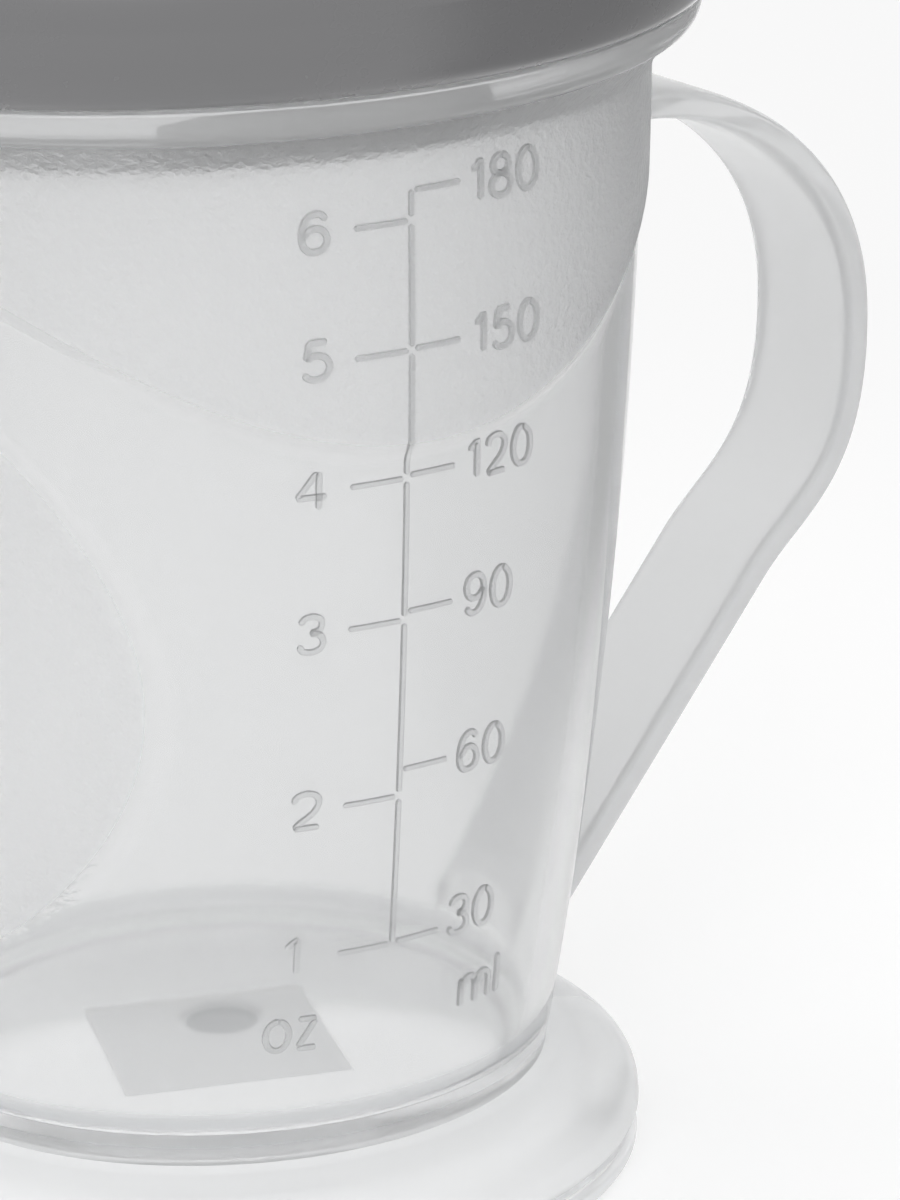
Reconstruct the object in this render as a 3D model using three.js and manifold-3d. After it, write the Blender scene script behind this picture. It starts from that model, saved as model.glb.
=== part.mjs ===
// Training cup: a one-piece translucent cup with a ribbon handle and a hollow flared foot,
// closed by a grey screw lid that carries a spout which folds down into the lid.
//
// Frame: millimetres, +Z up. The origin is the middle of the bounding box's underside, on the
// plane that the foot rests on. The handle points to +X, which moves the cup's upright axis a
// little towards -X, and the graduated scale and the spout face -Y. The solids are built round
// the cup's axis and are moved to their place at the end. An azimuth is measured from -Y
// towards +X, so the handle is at a quarter turn.

import * as THREE from 'three';
import { mergeVertices } from 'three/addons/utils/BufferGeometryUtils.js';
import Module from 'manifold-3d';

const wasm = await Module();
wasm.setup();

// Common clearances and walls
const runningGap = 0.3;
const cutOverrun = 2;
const wallThickness = 1.8;

// Mouth of the cup, which sets the radii of the neck, the collar, the wall and the lid
const mouthRadius = 31.5;
const neckWall = 2.1;
const neckRadius = mouthRadius + neckWall;

// Foot
const footWidestZ = 3.8;
const footDomeRise = 4.5;
const footDomeBlend = 0.2;
const footReach = 7;
const footLipInset = 0.2;
const footLipHeight = 1.7;
const footNotchDepth = 0.45;
const footNotchHeight = 0.35;
const footRimWidth = 1.6;
const footCrownWall = 2;

// Wall of the cup, between its foot and its collar
const wallHeight = 75.1;
const wallTaper = 8.9;
const wallTopSetback = 0.2;
const wallBulge = 1.57;
const wallFootZ = footWidestZ + footDomeRise - footDomeBlend;
const wallTopZ = wallFootZ + wallHeight;
const wallTopRadius = mouthRadius + wallThickness - wallTopSetback;
const wallFootRadius = wallTopRadius - wallTaper;
const footRadius = wallFootRadius + footReach;
const footLipRadius = footRadius - footLipInset;

// Upper zone of the wall, which stands proud above a wavy line
const waveRise = 18;
const waveCrestDrop = 2.6;
const waveStepHeight = 0.9;
const upperZoneProud = 0.6;
const waveTroughZ = wallTopZ - waveCrestDrop - waveRise;

// Floor of the cup
const floorRise = 2.5;
const floorThickness = 2;
const floorFilletRadius = 2.2;
const gateMarkRadius = 2.75;
const gateMarkDepth = 0.5;
const floorZ = wallFootZ + floorRise;

// Collar under the lid
const collarReach = 3.8;
const collarCreaseDepth = 1.9;
const collarFlareHeight = 3;
const collarHeight = 2.7;
const collarRoundingHeight = 2.2;
const collarRadius = neckRadius + collarReach;
const collarCreaseRadius = collarRadius - collarCreaseDepth;
const collarCreaseZ = wallTopZ + collarFlareHeight;
const collarTopZ = collarCreaseZ + collarHeight;

// Threaded neck above the collar
const neckHeight = 8.3;
const neckEdge = 0.4;
const threadDepth = 1.6;
const threadWidth = 1.7;
const threadPitch = 4;
const threadTurns = 1.2;
const threadStartAboveCollar = 1.8;
const neckTopZ = collarTopZ + neckHeight;

// Handle. Its places outwards are counted from the wall's top, and its heights from each other
const handleWidth = 12.4;
const handleThickness = 2.5;
const handleEdgeRadius = 1.05;
const handleStandoff = 22.3;
const handleTopDrop = 7.2;
const handleBellyDrop = 18.9;
const handleBendDrop = 19.1;
const handleShoulderOut = 2.9;
const handleBendOut = 12.6;
const handleRootIn = 12.1;
const handleRootRise = 0.3;
const handleShoulderPull = 7.1;
const handleBellyPull = 13.1;
const handleBendPull = 6;
const handleReach = wallTopRadius + handleStandoff;
const handleShoulderX = wallTopRadius + handleShoulderOut;
const handleBendX = wallTopRadius + handleBendOut;
const handleRootX = wallTopRadius - handleRootIn;
const handleTopZ = wallTopZ - handleTopDrop;
const handleBellyZ = handleTopZ - handleBellyDrop;
const handleBendZ = handleBellyZ - handleBendDrop;
const handleRootZ = wallFootZ + handleRootRise;

// Graduated scale, moulded on the wall. Its heights are shares of the wall's height
const scaleLineAzimuthDegrees = -3.4;
const scaleLineWidth = 0.42;
const scaleProud = 0.28;
const scaleTickLength = 3.9;
const scaleTickGap = 0.25;
const scaleLineEndShares = [0.2237, 0.9787];
const millilitreTickShares = [0.2277, 0.4075, 0.5672, 0.7017, 0.8256, 0.9747];
const ounceTickShares = [0.2264, 0.3808, 0.5593, 0.6991, 0.8242, 0.9467];

// Lid, counted outwards and upwards from the neck
const lidThreadClearance = 1;
const lidSkirtWall = 3;
const lidShoulderInset = 3.9;
const lidWidestRise = 4.3;
const lidShoulderRise = 4.8;
const lidCrownRise = 3.1;
const lidCrownThickness = 2.1;
const plugClearance = 0.5;
const plugWall = 2;
const plugDepth = 5.2;
const plugTaper = 0.4;
const lidThreadDepth = 1.6;
const lidSkirtInnerRadius = neckRadius + threadDepth + lidThreadClearance;
const lidRadius = lidSkirtInnerRadius + lidSkirtWall;
const lidShoulderRadius = lidRadius - lidShoulderInset;
const lidWidestZ = collarTopZ + lidWidestRise;
const lidShoulderZ = neckTopZ + lidShoulderRise;
const lidCrownZ = lidShoulderZ + lidCrownRise;
const plugOuterRadius = mouthRadius - plugClearance;
const plugInnerRadius = plugOuterRadius - plugWall;
const plugBottomZ = neckTopZ - plugDepth;

// Sealing ring between the neck and the lid
const sealThickness = 2.1;
const sealWidth = 2.6;
const sealBeadHeight = 0.5;
const sealInnerRadius = plugOuterRadius + runningGap * 2;
const sealOuterRadius = sealInnerRadius + sealWidth;

// Spout, and the axis that it folds about
const spoutLeanDegrees = 14;
const drumRadius = 5;
const pinRadius = 1.9;
const pinLength = 1.6;
const spoutLength = 24.8;
const spoutHalfWidth = 8;
const spoutHalfDepth = 4.6;
const spoutWall = 1.5;
const spoutBoreRadius = 2.2;
const spoutTipHoleRadius = 0.8;
const spoutTipHoleSpacing = 3.2;
const spoutTipHoleCount = 3;
// each row is a share of the length, of the half width and of the half depth
const spoutSectionShares = [
  [0, 0.64, 0.96],
  [0.17, 0.76, 1],
  [0.34, 0.9, 0.95],
  [0.53, 0.99, 0.87],
  [0.73, 1, 0.78],
  [0.88, 0.94, 0.67],
  [0.96, 0.82, 0.5],
  [1, 0.58, 0.26],
];
const spoutHollowStartShare = 0.17;
const spoutHollowEndShare = 0.88;
const spoutBoreOverlap = 0.384;
const pivotInset = 10.5;
const pivotY = pivotInset - plugInnerRadius;

// Recess in the lid that the spout folds into, with room round the spout and its drum
const recessSideRoom = 0.7;
const recessFrontRoom = 1.5;
const recessBackRoom = 3.2;
const recessDepth = 9.3;
const recessWall = 2.8;
const recessFloorThickness = 2.4;
const recessCornerRadius = 3;
const thumbScoopRadius = 9;
const thumbScoopDepth = 2.9;
const ventInset = 4.5;
const ventRadius = 0.9;
const recessHalfWidth = spoutHalfWidth + recessSideRoom;
const recessFrontY = pivotY - drumRadius - recessFrontRoom;
const recessBackY = pivotY + spoutLength + recessBackRoom;
const recessFloorZ = lidCrownZ - recessDepth;
const ventY = plugInnerRadius - ventInset;
const drumClearance = 0.4;
const pivotZ = recessFloorZ + drumRadius + drumClearance;

// Well under the spout, which the drink is drawn from
const wellHalfWidth = 10;
const wellHalfDepth = 7.3;
const wellWall = 1.6;
const wellDepth = 11.3;
const wellCornerRadius = 3.2;
const wellBottomZ = recessFloorZ - wellDepth;

// Soft seat ring under the spout's drum
const seatOuterRadius = 4;
const seatInnerRadius = 2.4;
const seatPocketDepth = 1.4;

// Fineness of the round forms
const bodySegments = 60;
const lidSegments = 60;
const smallSegments = 20;
const domeSteps = 5;
const filletSteps = 3;
const wallSteps = 5;
const upperZoneSteps = 2;
const handleSteps = 24;
const lidLineSteps = 4;

const quarterTurn = Math.PI / 2;
const fullTurn = Math.PI * 2;

// Turns a closed three.js geometry into a solid for joining and cutting.
function solidOf(geometry) {
  const bare = geometry.clone();
  bare.deleteAttribute('normal');
  bare.deleteAttribute('uv');
  const merged = mergeVertices(bare, 1e-4);
  const source = merged.index.array;
  const triangles = [];
  for (let i = 0; i < source.length; i += 3) {
    const [a, b, c] = [source[i], source[i + 1], source[i + 2]];
    if (a !== b && b !== c && c !== a) triangles.push(a, b, c);
  }
  return new wasm.Manifold(new wasm.Mesh({
    numProp: 3,
    vertProperties: new Float32Array(merged.attributes.position.array),
    triVerts: new Uint32Array(triangles),
  }));
}

// Turns a solid back into a geometry.
function geometryOf(solid) {
  const mesh = solid.getMesh();
  const geometry = new THREE.BufferGeometry();
  geometry.setAttribute('position', new THREE.BufferAttribute(new Float32Array(mesh.vertProperties), 3));
  geometry.setIndex(new THREE.BufferAttribute(new Uint32Array(mesh.triVerts), 1));
  geometry.computeVertexNormals();
  return geometry;
}

// Solid of revolution about +Z. The profile is a list of [radius, z], with the solid on its left.
function revolve(profile, segments) {
  const points = profile.map(([radius, z]) => new THREE.Vector2(radius, z));
  const first = points[0];
  const last = points[points.length - 1];
  if (first.x > 0 || last.x > 0) points.push(first.clone());
  const geometry = new THREE.LatheGeometry(points, segments);
  geometry.rotateX(quarterTurn);
  return solidOf(geometry);
}

// Closed body made of rings. Each row maps an azimuth to [radius, z]; the end rows lie on the axis.
function ringBody(rows, segments) {
  const positions = [];
  const index = [];
  for (const row of rows) {
    for (let j = 0; j <= segments; j += 1) {
      const azimuth = (j % segments) * fullTurn / segments;
      const [radius, z] = row(azimuth);
      positions.push(radius * Math.sin(azimuth), -radius * Math.cos(azimuth), z);
    }
  }
  const stride = segments + 1;
  for (let i = 0; i < rows.length - 1; i += 1) {
    for (let j = 0; j < segments; j += 1) {
      const a = i * stride + j;
      index.push(a, a + 1, a + stride, a + 1, a + stride + 1, a + stride);
    }
  }
  const geometry = new THREE.BufferGeometry();
  geometry.setAttribute('position', new THREE.Float32BufferAttribute(positions, 3));
  geometry.setIndex(index);
  return solidOf(geometry);
}

// Upright prism with rounded corners, centred at [x, y].
function roundedPrism(x, y, halfWidth, halfDepth, corner, bottomZ, topZ) {
  const shape = new THREE.Shape();
  shape.moveTo(x - halfWidth + corner, y - halfDepth);
  shape.lineTo(x + halfWidth - corner, y - halfDepth);
  shape.absarc(x + halfWidth - corner, y - halfDepth + corner, corner, -quarterTurn, 0);
  shape.lineTo(x + halfWidth, y + halfDepth - corner);
  shape.absarc(x + halfWidth - corner, y + halfDepth - corner, corner, 0, quarterTurn);
  shape.lineTo(x - halfWidth + corner, y + halfDepth);
  shape.absarc(x - halfWidth + corner, y + halfDepth - corner, corner, quarterTurn, Math.PI);
  shape.lineTo(x - halfWidth, y - halfDepth + corner);
  shape.absarc(x - halfWidth + corner, y - halfDepth + corner, corner, Math.PI, Math.PI + quarterTurn);
  const geometry = new THREE.ExtrudeGeometry(shape, {
    depth: topZ - bottomZ,
    bevelEnabled: false,
    curveSegments: filletSteps,
  });
  geometry.translate(0, 0, bottomZ);
  return solidOf(geometry);
}

// Upright round bar from bottomZ to topZ.
function uprightBar(x, y, radius, bottomZ, topZ) {
  const geometry = new THREE.CylinderGeometry(radius, radius, topZ - bottomZ, smallSegments);
  geometry.rotateX(quarterTurn);
  geometry.translate(x, y, (bottomZ + topZ) / 2);
  return solidOf(geometry);
}

// Round bar along X, centred on x = 0.
function crossBar(y, z, radius, halfLength) {
  const geometry = new THREE.CylinderGeometry(radius, radius, halfLength * 2, smallSegments);
  geometry.rotateZ(quarterTurn);
  geometry.translate(0, y, z);
  return solidOf(geometry);
}

// Outer radius of the plain wall: a straight taper with a slight bulge.
function wallRadius(z) {
  const share = (z - wallFootZ) / (wallTopZ - wallFootZ);
  return wallFootRadius + (wallTopRadius - wallFootRadius) * share + 4 * wallBulge * share * (1 - share);
}

// Height of the wavy line, low at the scale and high at the handle.
function waveZ(azimuth) {
  return waveTroughZ + waveRise * Math.sin(azimuth) ** 2;
}

// Outer radius of the wall with its proud upper zone.
function skinRadius(azimuth, z) {
  return wallRadius(z) + (z > waveZ(azimuth) ? upperZoneProud : 0);
}

// Helical ridge around +Z, whose root is sunk into the wall at the given radius.
function threadRidge(rootRadius, crestRadius, startZ) {
  const steps = Math.round(bodySegments * threadTurns / 2);
  const sink = Math.sign(rootRadius - crestRadius) * threadWidth / 2;
  const positions = [];
  const index = [];
  for (let i = 0; i <= steps; i += 1) {
    const angle = threadTurns * fullTurn * i / steps;
    const z = startZ + threadPitch * threadTurns * i / steps;
    const section = [
      [rootRadius + sink, z - threadWidth / 2],
      [crestRadius, z - threadWidth / 4],
      [crestRadius, z + threadWidth / 4],
      [rootRadius + sink, z + threadWidth / 2],
    ];
    for (const [radius, height] of section) {
      positions.push(radius * Math.cos(angle), radius * Math.sin(angle), height);
    }
  }
  for (let i = 0; i < steps; i += 1) {
    for (let k = 0; k < 4; k += 1) {
      const a = i * 4 + k;
      const b = i * 4 + (k + 1) % 4;
      index.push(a, a + 4, b, b, a + 4, b + 4);
    }
  }
  const end = steps * 4;
  index.push(0, 1, 2, 0, 2, 3, end, end + 2, end + 1, end, end + 3, end + 2);
  if (crestRadius < rootRadius) {
    for (let i = 0; i < index.length; i += 3) [index[i + 1], index[i + 2]] = [index[i + 2], index[i + 1]];
  }
  const geometry = new THREE.BufferGeometry();
  geometry.setAttribute('position', new THREE.Float32BufferAttribute(positions, 3));
  geometry.setIndex(index);
  return solidOf(geometry);
}

// Raised strip that lies on the wall between two arc places and two heights.
function wallStrip(fromArc, toArc, fromZ, toZ) {
  const lineAzimuth = THREE.MathUtils.degToRad(scaleLineAzimuthDegrees);
  const rows = Math.ceil((toZ - fromZ) / (wallThickness * wallSteps));
  const positions = [];
  const index = [];
  for (let i = 0; i <= rows; i += 1) {
    const z = fromZ + (toZ - fromZ) * i / rows;
    for (const [arc, proud] of [[fromArc, -1], [toArc, -1], [toArc, 1], [fromArc, 1]]) {
      const skin = skinRadius(lineAzimuth, z);
      const azimuth = lineAzimuth + arc / skin;
      const radius = proud > 0 ? skin + scaleProud : skin - wallThickness / 2;
      positions.push(radius * Math.sin(azimuth), -radius * Math.cos(azimuth), z);
    }
  }
  for (let i = 0; i < rows; i += 1) {
    for (let k = 0; k < 4; k += 1) {
      const a = i * 4 + k;
      const b = i * 4 + (k + 1) % 4;
      index.push(a, a + 4, b, b, a + 4, b + 4);
    }
  }
  const end = rows * 4;
  index.push(0, 1, 2, 0, 2, 3, end, end + 2, end + 1, end, end + 3, end + 2);
  const geometry = new THREE.BufferGeometry();
  geometry.setAttribute('position', new THREE.Float32BufferAttribute(positions, 3));
  geometry.setIndex(index);
  return solidOf(geometry);
}

// Outer form of the cup, filled: foot, wall with its wavy step, collar and neck.
function cupOuterForm() {
  const rows = [];
  const level = (radius, z) => rows.push(() => [radius, z]);
  level(0, 0);
  level(footLipRadius - footNotchDepth * 2, 0);
  level(footLipRadius, footNotchDepth * 2);
  level(footLipRadius, footLipHeight);
  level(footLipRadius - footNotchDepth, footLipHeight + footNotchHeight);
  level(footLipRadius, footLipHeight + footNotchHeight * 2);
  const domeReach = footRadius - wallRadius(wallFootZ);
  for (let i = 0; i <= domeSteps; i += 1) {
    const turn = quarterTurn * i / domeSteps;
    const outward = Math.cos(turn) ** 0.83;
    const upward = Math.sin(turn) ** 0.83;
    if (i < domeSteps) level(footRadius - domeReach * (1 - outward), footWidestZ + footDomeRise * upward);
  }
  level(wallRadius(wallFootZ), wallFootZ);
  const half = waveStepHeight / 2;
  for (let i = 1; i <= wallSteps; i += 1) {
    rows.push((azimuth) => {
      const z = wallFootZ + (waveZ(azimuth) - half - wallFootZ) * i / wallSteps;
      return [wallRadius(z), z];
    });
  }
  for (let i = 0; i <= upperZoneSteps; i += 1) {
    rows.push((azimuth) => {
      const start = waveZ(azimuth) + half;
      const z = start + (wallTopZ - start) * i / upperZoneSteps;
      return [wallRadius(z) + upperZoneProud, z];
    });
  }
  const flareRadius = wallTopRadius + upperZoneProud;
  level((flareRadius * 2 + collarCreaseRadius) / 3, (wallTopZ + collarCreaseZ) / 2);
  level(collarCreaseRadius, collarCreaseZ);
  const roundingReach = collarRadius - collarCreaseRadius;
  for (let i = 1; i <= filletSteps; i += 1) {
    const turn = quarterTurn * i / filletSteps;
    const z = collarCreaseZ + collarRoundingHeight * (1 - Math.cos(turn));
    level(collarCreaseRadius + roundingReach * Math.sin(turn), z);
  }
  level(collarRadius, collarTopZ);
  level(neckRadius, collarTopZ);
  level(neckRadius, neckTopZ - neckEdge);
  level(neckRadius - neckEdge, neckTopZ);
  level(0, neckTopZ);
  return ringBody(rows, bodySegments);
}

// Space inside the cup, with a filleted floor.
function cupCavity() {
  const profile = [[0, floorZ]];
  const cornerRadius = wallRadius(floorZ + floorFilletRadius) - wallThickness;
  for (let i = 0; i <= filletSteps; i += 1) {
    const turn = quarterTurn * i / filletSteps;
    const radius = cornerRadius - floorFilletRadius * (1 - Math.sin(turn));
    profile.push([radius, floorZ + floorFilletRadius * (1 - Math.cos(turn))]);
  }
  const startZ = floorZ + floorFilletRadius;
  for (let i = 1; i <= wallSteps; i += 1) {
    const z = startZ + (wallTopZ - startZ) * i / wallSteps;
    profile.push([wallRadius(z) - wallThickness, z]);
  }
  profile.push([mouthRadius, collarCreaseZ]);
  profile.push([mouthRadius, neckTopZ - neckEdge]);
  profile.push([mouthRadius + neckEdge, neckTopZ]);
  profile.push([mouthRadius + neckEdge, neckTopZ + cutOverrun]);
  profile.push([0, neckTopZ + cutOverrun]);
  return revolve(profile, bodySegments);
}

// Hollow under the foot, open at the bottom.
function footHollow() {
  const rimInner = footLipRadius - footNotchDepth * 2 - footRimWidth;
  const underFloorZ = floorZ - floorThickness;
  const floorReach = wallRadius(wallFootZ) - wallThickness;
  return revolve([
    [0, -cutOverrun],
    [rimInner, -cutOverrun],
    [rimInner, 0],
    [rimInner, footWidestZ],
    [rimInner - footCrownWall / 2, footWidestZ + footDomeRise - footCrownWall * 1.6],
    [wallRadius(wallFootZ) + footCrownWall, wallFootZ - footCrownWall * 1.05],
    [floorReach + footCrownWall / 2, wallFootZ - footCrownWall],
    [floorReach, underFloorZ],
    [0, underFloorZ],
  ], bodySegments);
}

// Path of the handle's ribbon in the plane y = 0, from the wall's top to its foot.
function handlePath() {
  const at = (x, z) => new THREE.Vector3(x, 0, z);
  const path = new THREE.CurvePath();
  const startX = mouthRadius - cutOverrun;
  path.add(new THREE.LineCurve3(at(startX, handleTopZ), at(handleShoulderX, handleTopZ)));
  path.add(new THREE.CubicBezierCurve3(
    at(handleShoulderX, handleTopZ),
    at(handleShoulderX + handleShoulderPull, handleTopZ),
    at(handleReach, handleBellyZ + handleBellyPull),
    at(handleReach, handleBellyZ),
  ));
  const run = Math.hypot(handleBendX - handleRootX, handleBendZ - handleRootZ);
  const downX = (handleBendX - handleRootX) / run;
  const downZ = (handleBendZ - handleRootZ) / run;
  path.add(new THREE.CubicBezierCurve3(
    at(handleReach, handleBellyZ),
    at(handleReach, handleBellyZ - handleBellyPull),
    at(handleBendX + downX * handleBendPull, handleBendZ + downZ * handleBendPull),
    at(handleBendX, handleBendZ),
  ));
  path.add(new THREE.LineCurve3(at(handleBendX, handleBendZ), at(handleRootX, handleRootZ)));
  return path;
}

// Ribbon handle with rounded edges, still running into the cup's inside.
function handleForm() {
  const halfT = handleThickness / 2;
  const halfW = handleWidth / 2;
  const edge = handleEdgeRadius;
  const section = new THREE.Shape();
  section.moveTo(-halfT, -halfW + edge);
  section.absarc(-halfT + edge, -halfW + edge, edge, Math.PI, Math.PI + quarterTurn);
  section.absarc(halfT - edge, -halfW + edge, edge, -quarterTurn, 0);
  section.absarc(halfT - edge, halfW - edge, edge, 0, quarterTurn);
  section.absarc(-halfT + edge, halfW - edge, edge, quarterTurn, Math.PI);
  section.closePath();
  const geometry = new THREE.ExtrudeGeometry(section, {
    steps: handleSteps,
    curveSegments: filletSteps,
    extrudePath: handlePath(),
    bevelEnabled: false,
  });
  return solidOf(geometry);
}

// The scale: one upright line with millilitre ticks on its right and ounce ticks on its left.
function scaleForms() {
  const halfLine = scaleLineWidth / 2;
  const height = (share) => wallFootZ + wallHeight * share;
  const [lineBottomZ, lineTopZ] = scaleLineEndShares.map(height);
  const forms = [
    wallStrip(-halfLine, halfLine, lineBottomZ, waveTroughZ),
    wallStrip(-halfLine, halfLine, waveTroughZ, lineTopZ),
  ];
  for (const z of millilitreTickShares.map(height)) {
    forms.push(wallStrip(scaleTickGap, scaleTickGap + scaleTickLength, z - halfLine, z + halfLine));
  }
  for (const z of ounceTickShares.map(height)) {
    forms.push(wallStrip(-scaleTickGap - scaleTickLength, -scaleTickGap, z - halfLine, z + halfLine));
  }
  return forms;
}

function buildCupBody() {
  let solid = cupOuterForm().add(handleForm());
  for (const form of scaleForms()) solid = solid.add(form);
  solid = solid.subtract(cupCavity()).subtract(footHollow());
  const threadZ = collarTopZ + threadStartAboveCollar;
  solid = solid.add(threadRidge(neckRadius, neckRadius + threadDepth, threadZ));
  solid = solid.subtract(uprightBar(0, 0, gateMarkRadius, floorZ - gateMarkDepth, floorZ + cutOverrun));
  return geometryOf(solid);
}

// Outer line of the lid from its lower edge to the crown, as [radius, z].
function lidOuterLine() {
  const edgeZ = collarTopZ + runningGap;
  const edgeRise = lidWidestZ - edgeZ;
  const edgeReach = lidRadius - collarRadius;
  const shoulderReach = lidRadius - lidShoulderRadius;
  const shoulderRise = lidShoulderZ - lidWidestZ;
  const line = [[collarRadius, edgeZ]];
  const steps = lidLineSteps;
  for (let i = 1; i <= steps; i += 1) {
    const turn = quarterTurn * i / steps;
    line.push([collarRadius + edgeReach * Math.sin(turn), edgeZ + edgeRise * (1 - Math.cos(turn))]);
  }
  for (let i = 1; i <= steps; i += 1) {
    const share = i / steps;
    line.push([lidRadius - shoulderReach * share ** 2.2, lidWidestZ + shoulderRise * share ** 0.85]);
  }
  for (let i = 1; i <= steps; i += 1) {
    const share = i / steps;
    const rise = lidCrownZ - lidShoulderZ;
    line.push([lidShoulderRadius * (1 - share), lidShoulderZ + rise * (1 - (1 - share) ** 2)]);
  }
  return line;
}

// Height of the crown's outer face above a radius inside the shoulder.
function crownZ(radius) {
  return lidShoulderZ + (lidCrownZ - lidShoulderZ) * (1 - (radius / lidShoulderRadius) ** 2);
}

function sealSeatZ() {
  return neckTopZ + sealThickness + runningGap * 2;
}

function lidShellForm() {
  const edgeZ = collarTopZ + runningGap;
  const inner = [];
  const steps = 3;
  for (let i = 0; i <= steps; i += 1) {
    const radius = plugInnerRadius * i / steps;
    inner.push([radius, crownZ(radius) - lidCrownThickness]);
  }
  const profile = [
    ...lidOuterLine(),
    ...inner,
    [plugInnerRadius, plugBottomZ + plugTaper],
    [plugInnerRadius + plugTaper, plugBottomZ],
    [plugOuterRadius - plugTaper, plugBottomZ],
    [plugOuterRadius, plugBottomZ + plugTaper],
    [plugOuterRadius, sealSeatZ()],
    [lidSkirtInnerRadius, sealSeatZ()],
    [lidSkirtInnerRadius, edgeZ],
  ];
  return revolve(profile, lidSegments);
}

// Everything under the lid's outer face, used to trim what is built into the crown.
function lidTrimForm() {
  const line = lidOuterLine().filter(([radius]) => radius <= plugOuterRadius);
  const bottomZ = wellBottomZ - cutOverrun;
  return revolve([[0, bottomZ], [line[0][0], bottomZ], ...line], lidSegments);
}

function thumbScoop(extra) {
  const geometry = new THREE.SphereGeometry(thumbScoopRadius + extra, smallSegments, smallSegments / 2);
  geometry.rotateX(quarterTurn);
  geometry.translate(0, recessBackY, crownZ(recessBackY) - thumbScoopDepth + thumbScoopRadius);
  return solidOf(geometry);
}

function buildLidShell() {
  const recessY = (recessFrontY + recessBackY) / 2;
  const recessHalfLength = (recessBackY - recessFrontY) / 2;
  const above = lidCrownZ + cutOverrun;
  const floorUndersideZ = recessFloorZ - recessFloorThickness;
  const tub = roundedPrism(0, recessY, recessHalfWidth + recessWall, recessHalfLength + recessWall,
    recessCornerRadius + recessWall, floorUndersideZ, above);
  const well = roundedPrism(0, pivotY, wellHalfWidth, wellHalfDepth, wellCornerRadius,
    wellBottomZ, recessFloorZ - recessFloorThickness / 2);
  const inset = tub.add(well).add(thumbScoop(lidCrownThickness)).intersect(lidTrimForm());
  const threadZ = collarTopZ + threadStartAboveCollar + threadPitch / 2;
  const thread = threadRidge(lidSkirtInnerRadius, lidSkirtInnerRadius - lidThreadDepth, threadZ);
  const pinReach = recessHalfWidth + pinLength + runningGap;
  const tubHollow = roundedPrism(0, recessY, recessHalfWidth, recessHalfLength, recessCornerRadius,
    recessFloorZ, above);
  const wellHollow = roundedPrism(0, pivotY, wellHalfWidth - wellWall, wellHalfDepth - wellWall,
    wellCornerRadius - wellWall, wellBottomZ - cutOverrun, floorUndersideZ);
  const solid = lidShellForm().add(inset).add(thread)
    .subtract(tubHollow)
    .subtract(wellHollow)
    .subtract(thumbScoop(0))
    .subtract(crossBar(pivotY, pivotZ, pinRadius + runningGap, pinReach))
    .subtract(uprightBar(0, pivotY, seatOuterRadius + runningGap, recessFloorZ - seatPocketDepth, above))
    .subtract(uprightBar(0, pivotY, seatInnerRadius, wellBottomZ, recessFloorZ))
    .subtract(uprightBar(0, ventY, ventRadius, floorUndersideZ, above));
  return geometryOf(solid);
}

function buildSealingRing() {
  const bottomZ = neckTopZ + runningGap;
  const topZ = bottomZ + sealThickness;
  const middle = (sealInnerRadius + sealOuterRadius) / 2;
  const bead = sealBeadHeight;
  return geometryOf(revolve([
    [sealInnerRadius, bottomZ + bead],
    [sealInnerRadius + bead, bottomZ],
    [sealOuterRadius - bead, bottomZ],
    [sealOuterRadius, bottomZ + bead],
    [sealOuterRadius, topZ - bead],
    [middle + bead, topZ - bead],
    [middle, topZ],
    [middle - bead, topZ - bead],
    [sealInnerRadius, topZ - bead],
  ], lidSegments));
}

// Loft through oval sections; grow takes a wall off every side when it is negative.
function spoutLoft(grow, fromShare, toShare) {
  const used = spoutSectionShares.filter(([share]) => share >= fromShare && share <= toShare);
  const sections = used.map(([lengthShare, widthShare, depthShare]) => [
    spoutLength * lengthShare,
    spoutHalfWidth * widthShare + grow,
    spoutHalfDepth * depthShare + grow,
  ]);
  const sides = smallSegments;
  const positions = [];
  const index = [];
  const push = (x, y, z) => positions.push(x, y, z);
  push(0, 0, sections[0][0]);
  for (const [z, halfWidth, halfDepth] of sections) {
    for (let j = 0; j < sides; j += 1) {
      const angle = fullTurn * j / sides;
      const across = Math.sign(Math.cos(angle)) * Math.abs(Math.cos(angle)) ** 0.85;
      const along = Math.sign(Math.sin(angle)) * Math.abs(Math.sin(angle)) ** 0.85;
      push(halfWidth * across, halfDepth * along, z);
    }
  }
  push(0, 0, sections[sections.length - 1][0]);
  const tip = sections.length * sides + 1;
  for (let j = 0; j < sides; j += 1) {
    const next = (j + 1) % sides;
    index.push(0, 1 + next, 1 + j);
    index.push(tip, tip - sides + j, tip - sides + next);
    for (let i = 0; i < sections.length - 1; i += 1) {
      const a = 1 + i * sides + j;
      const b = 1 + i * sides + next;
      index.push(a, b, a + sides, b, b + sides, a + sides);
    }
  }
  const geometry = new THREE.BufferGeometry();
  geometry.setAttribute('position', new THREE.Float32BufferAttribute(positions, 3));
  geometry.setIndex(index);
  return geometry;
}

// Puts a geometry that was made upright about the pivot into its leaning place.
function leaned(geometry) {
  geometry.rotateX(THREE.MathUtils.degToRad(spoutLeanDegrees));
  geometry.translate(0, pivotY, pivotZ);
  return solidOf(geometry);
}

// A hole from past the tip to half a wall inside the hollow, however long the spout is.
function tipHole(x) {
  const bottomZ = spoutLength * spoutHollowEndShare - spoutWall / 2;
  const topZ = spoutLength + spoutWall;
  const radius = spoutTipHoleRadius;
  const geometry = new THREE.CylinderGeometry(radius, radius, topZ - bottomZ, smallSegments / 2);
  geometry.rotateX(quarterTurn);
  geometry.translate(x, 0, (bottomZ + topZ) / 2);
  return leaned(geometry);
}

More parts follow.
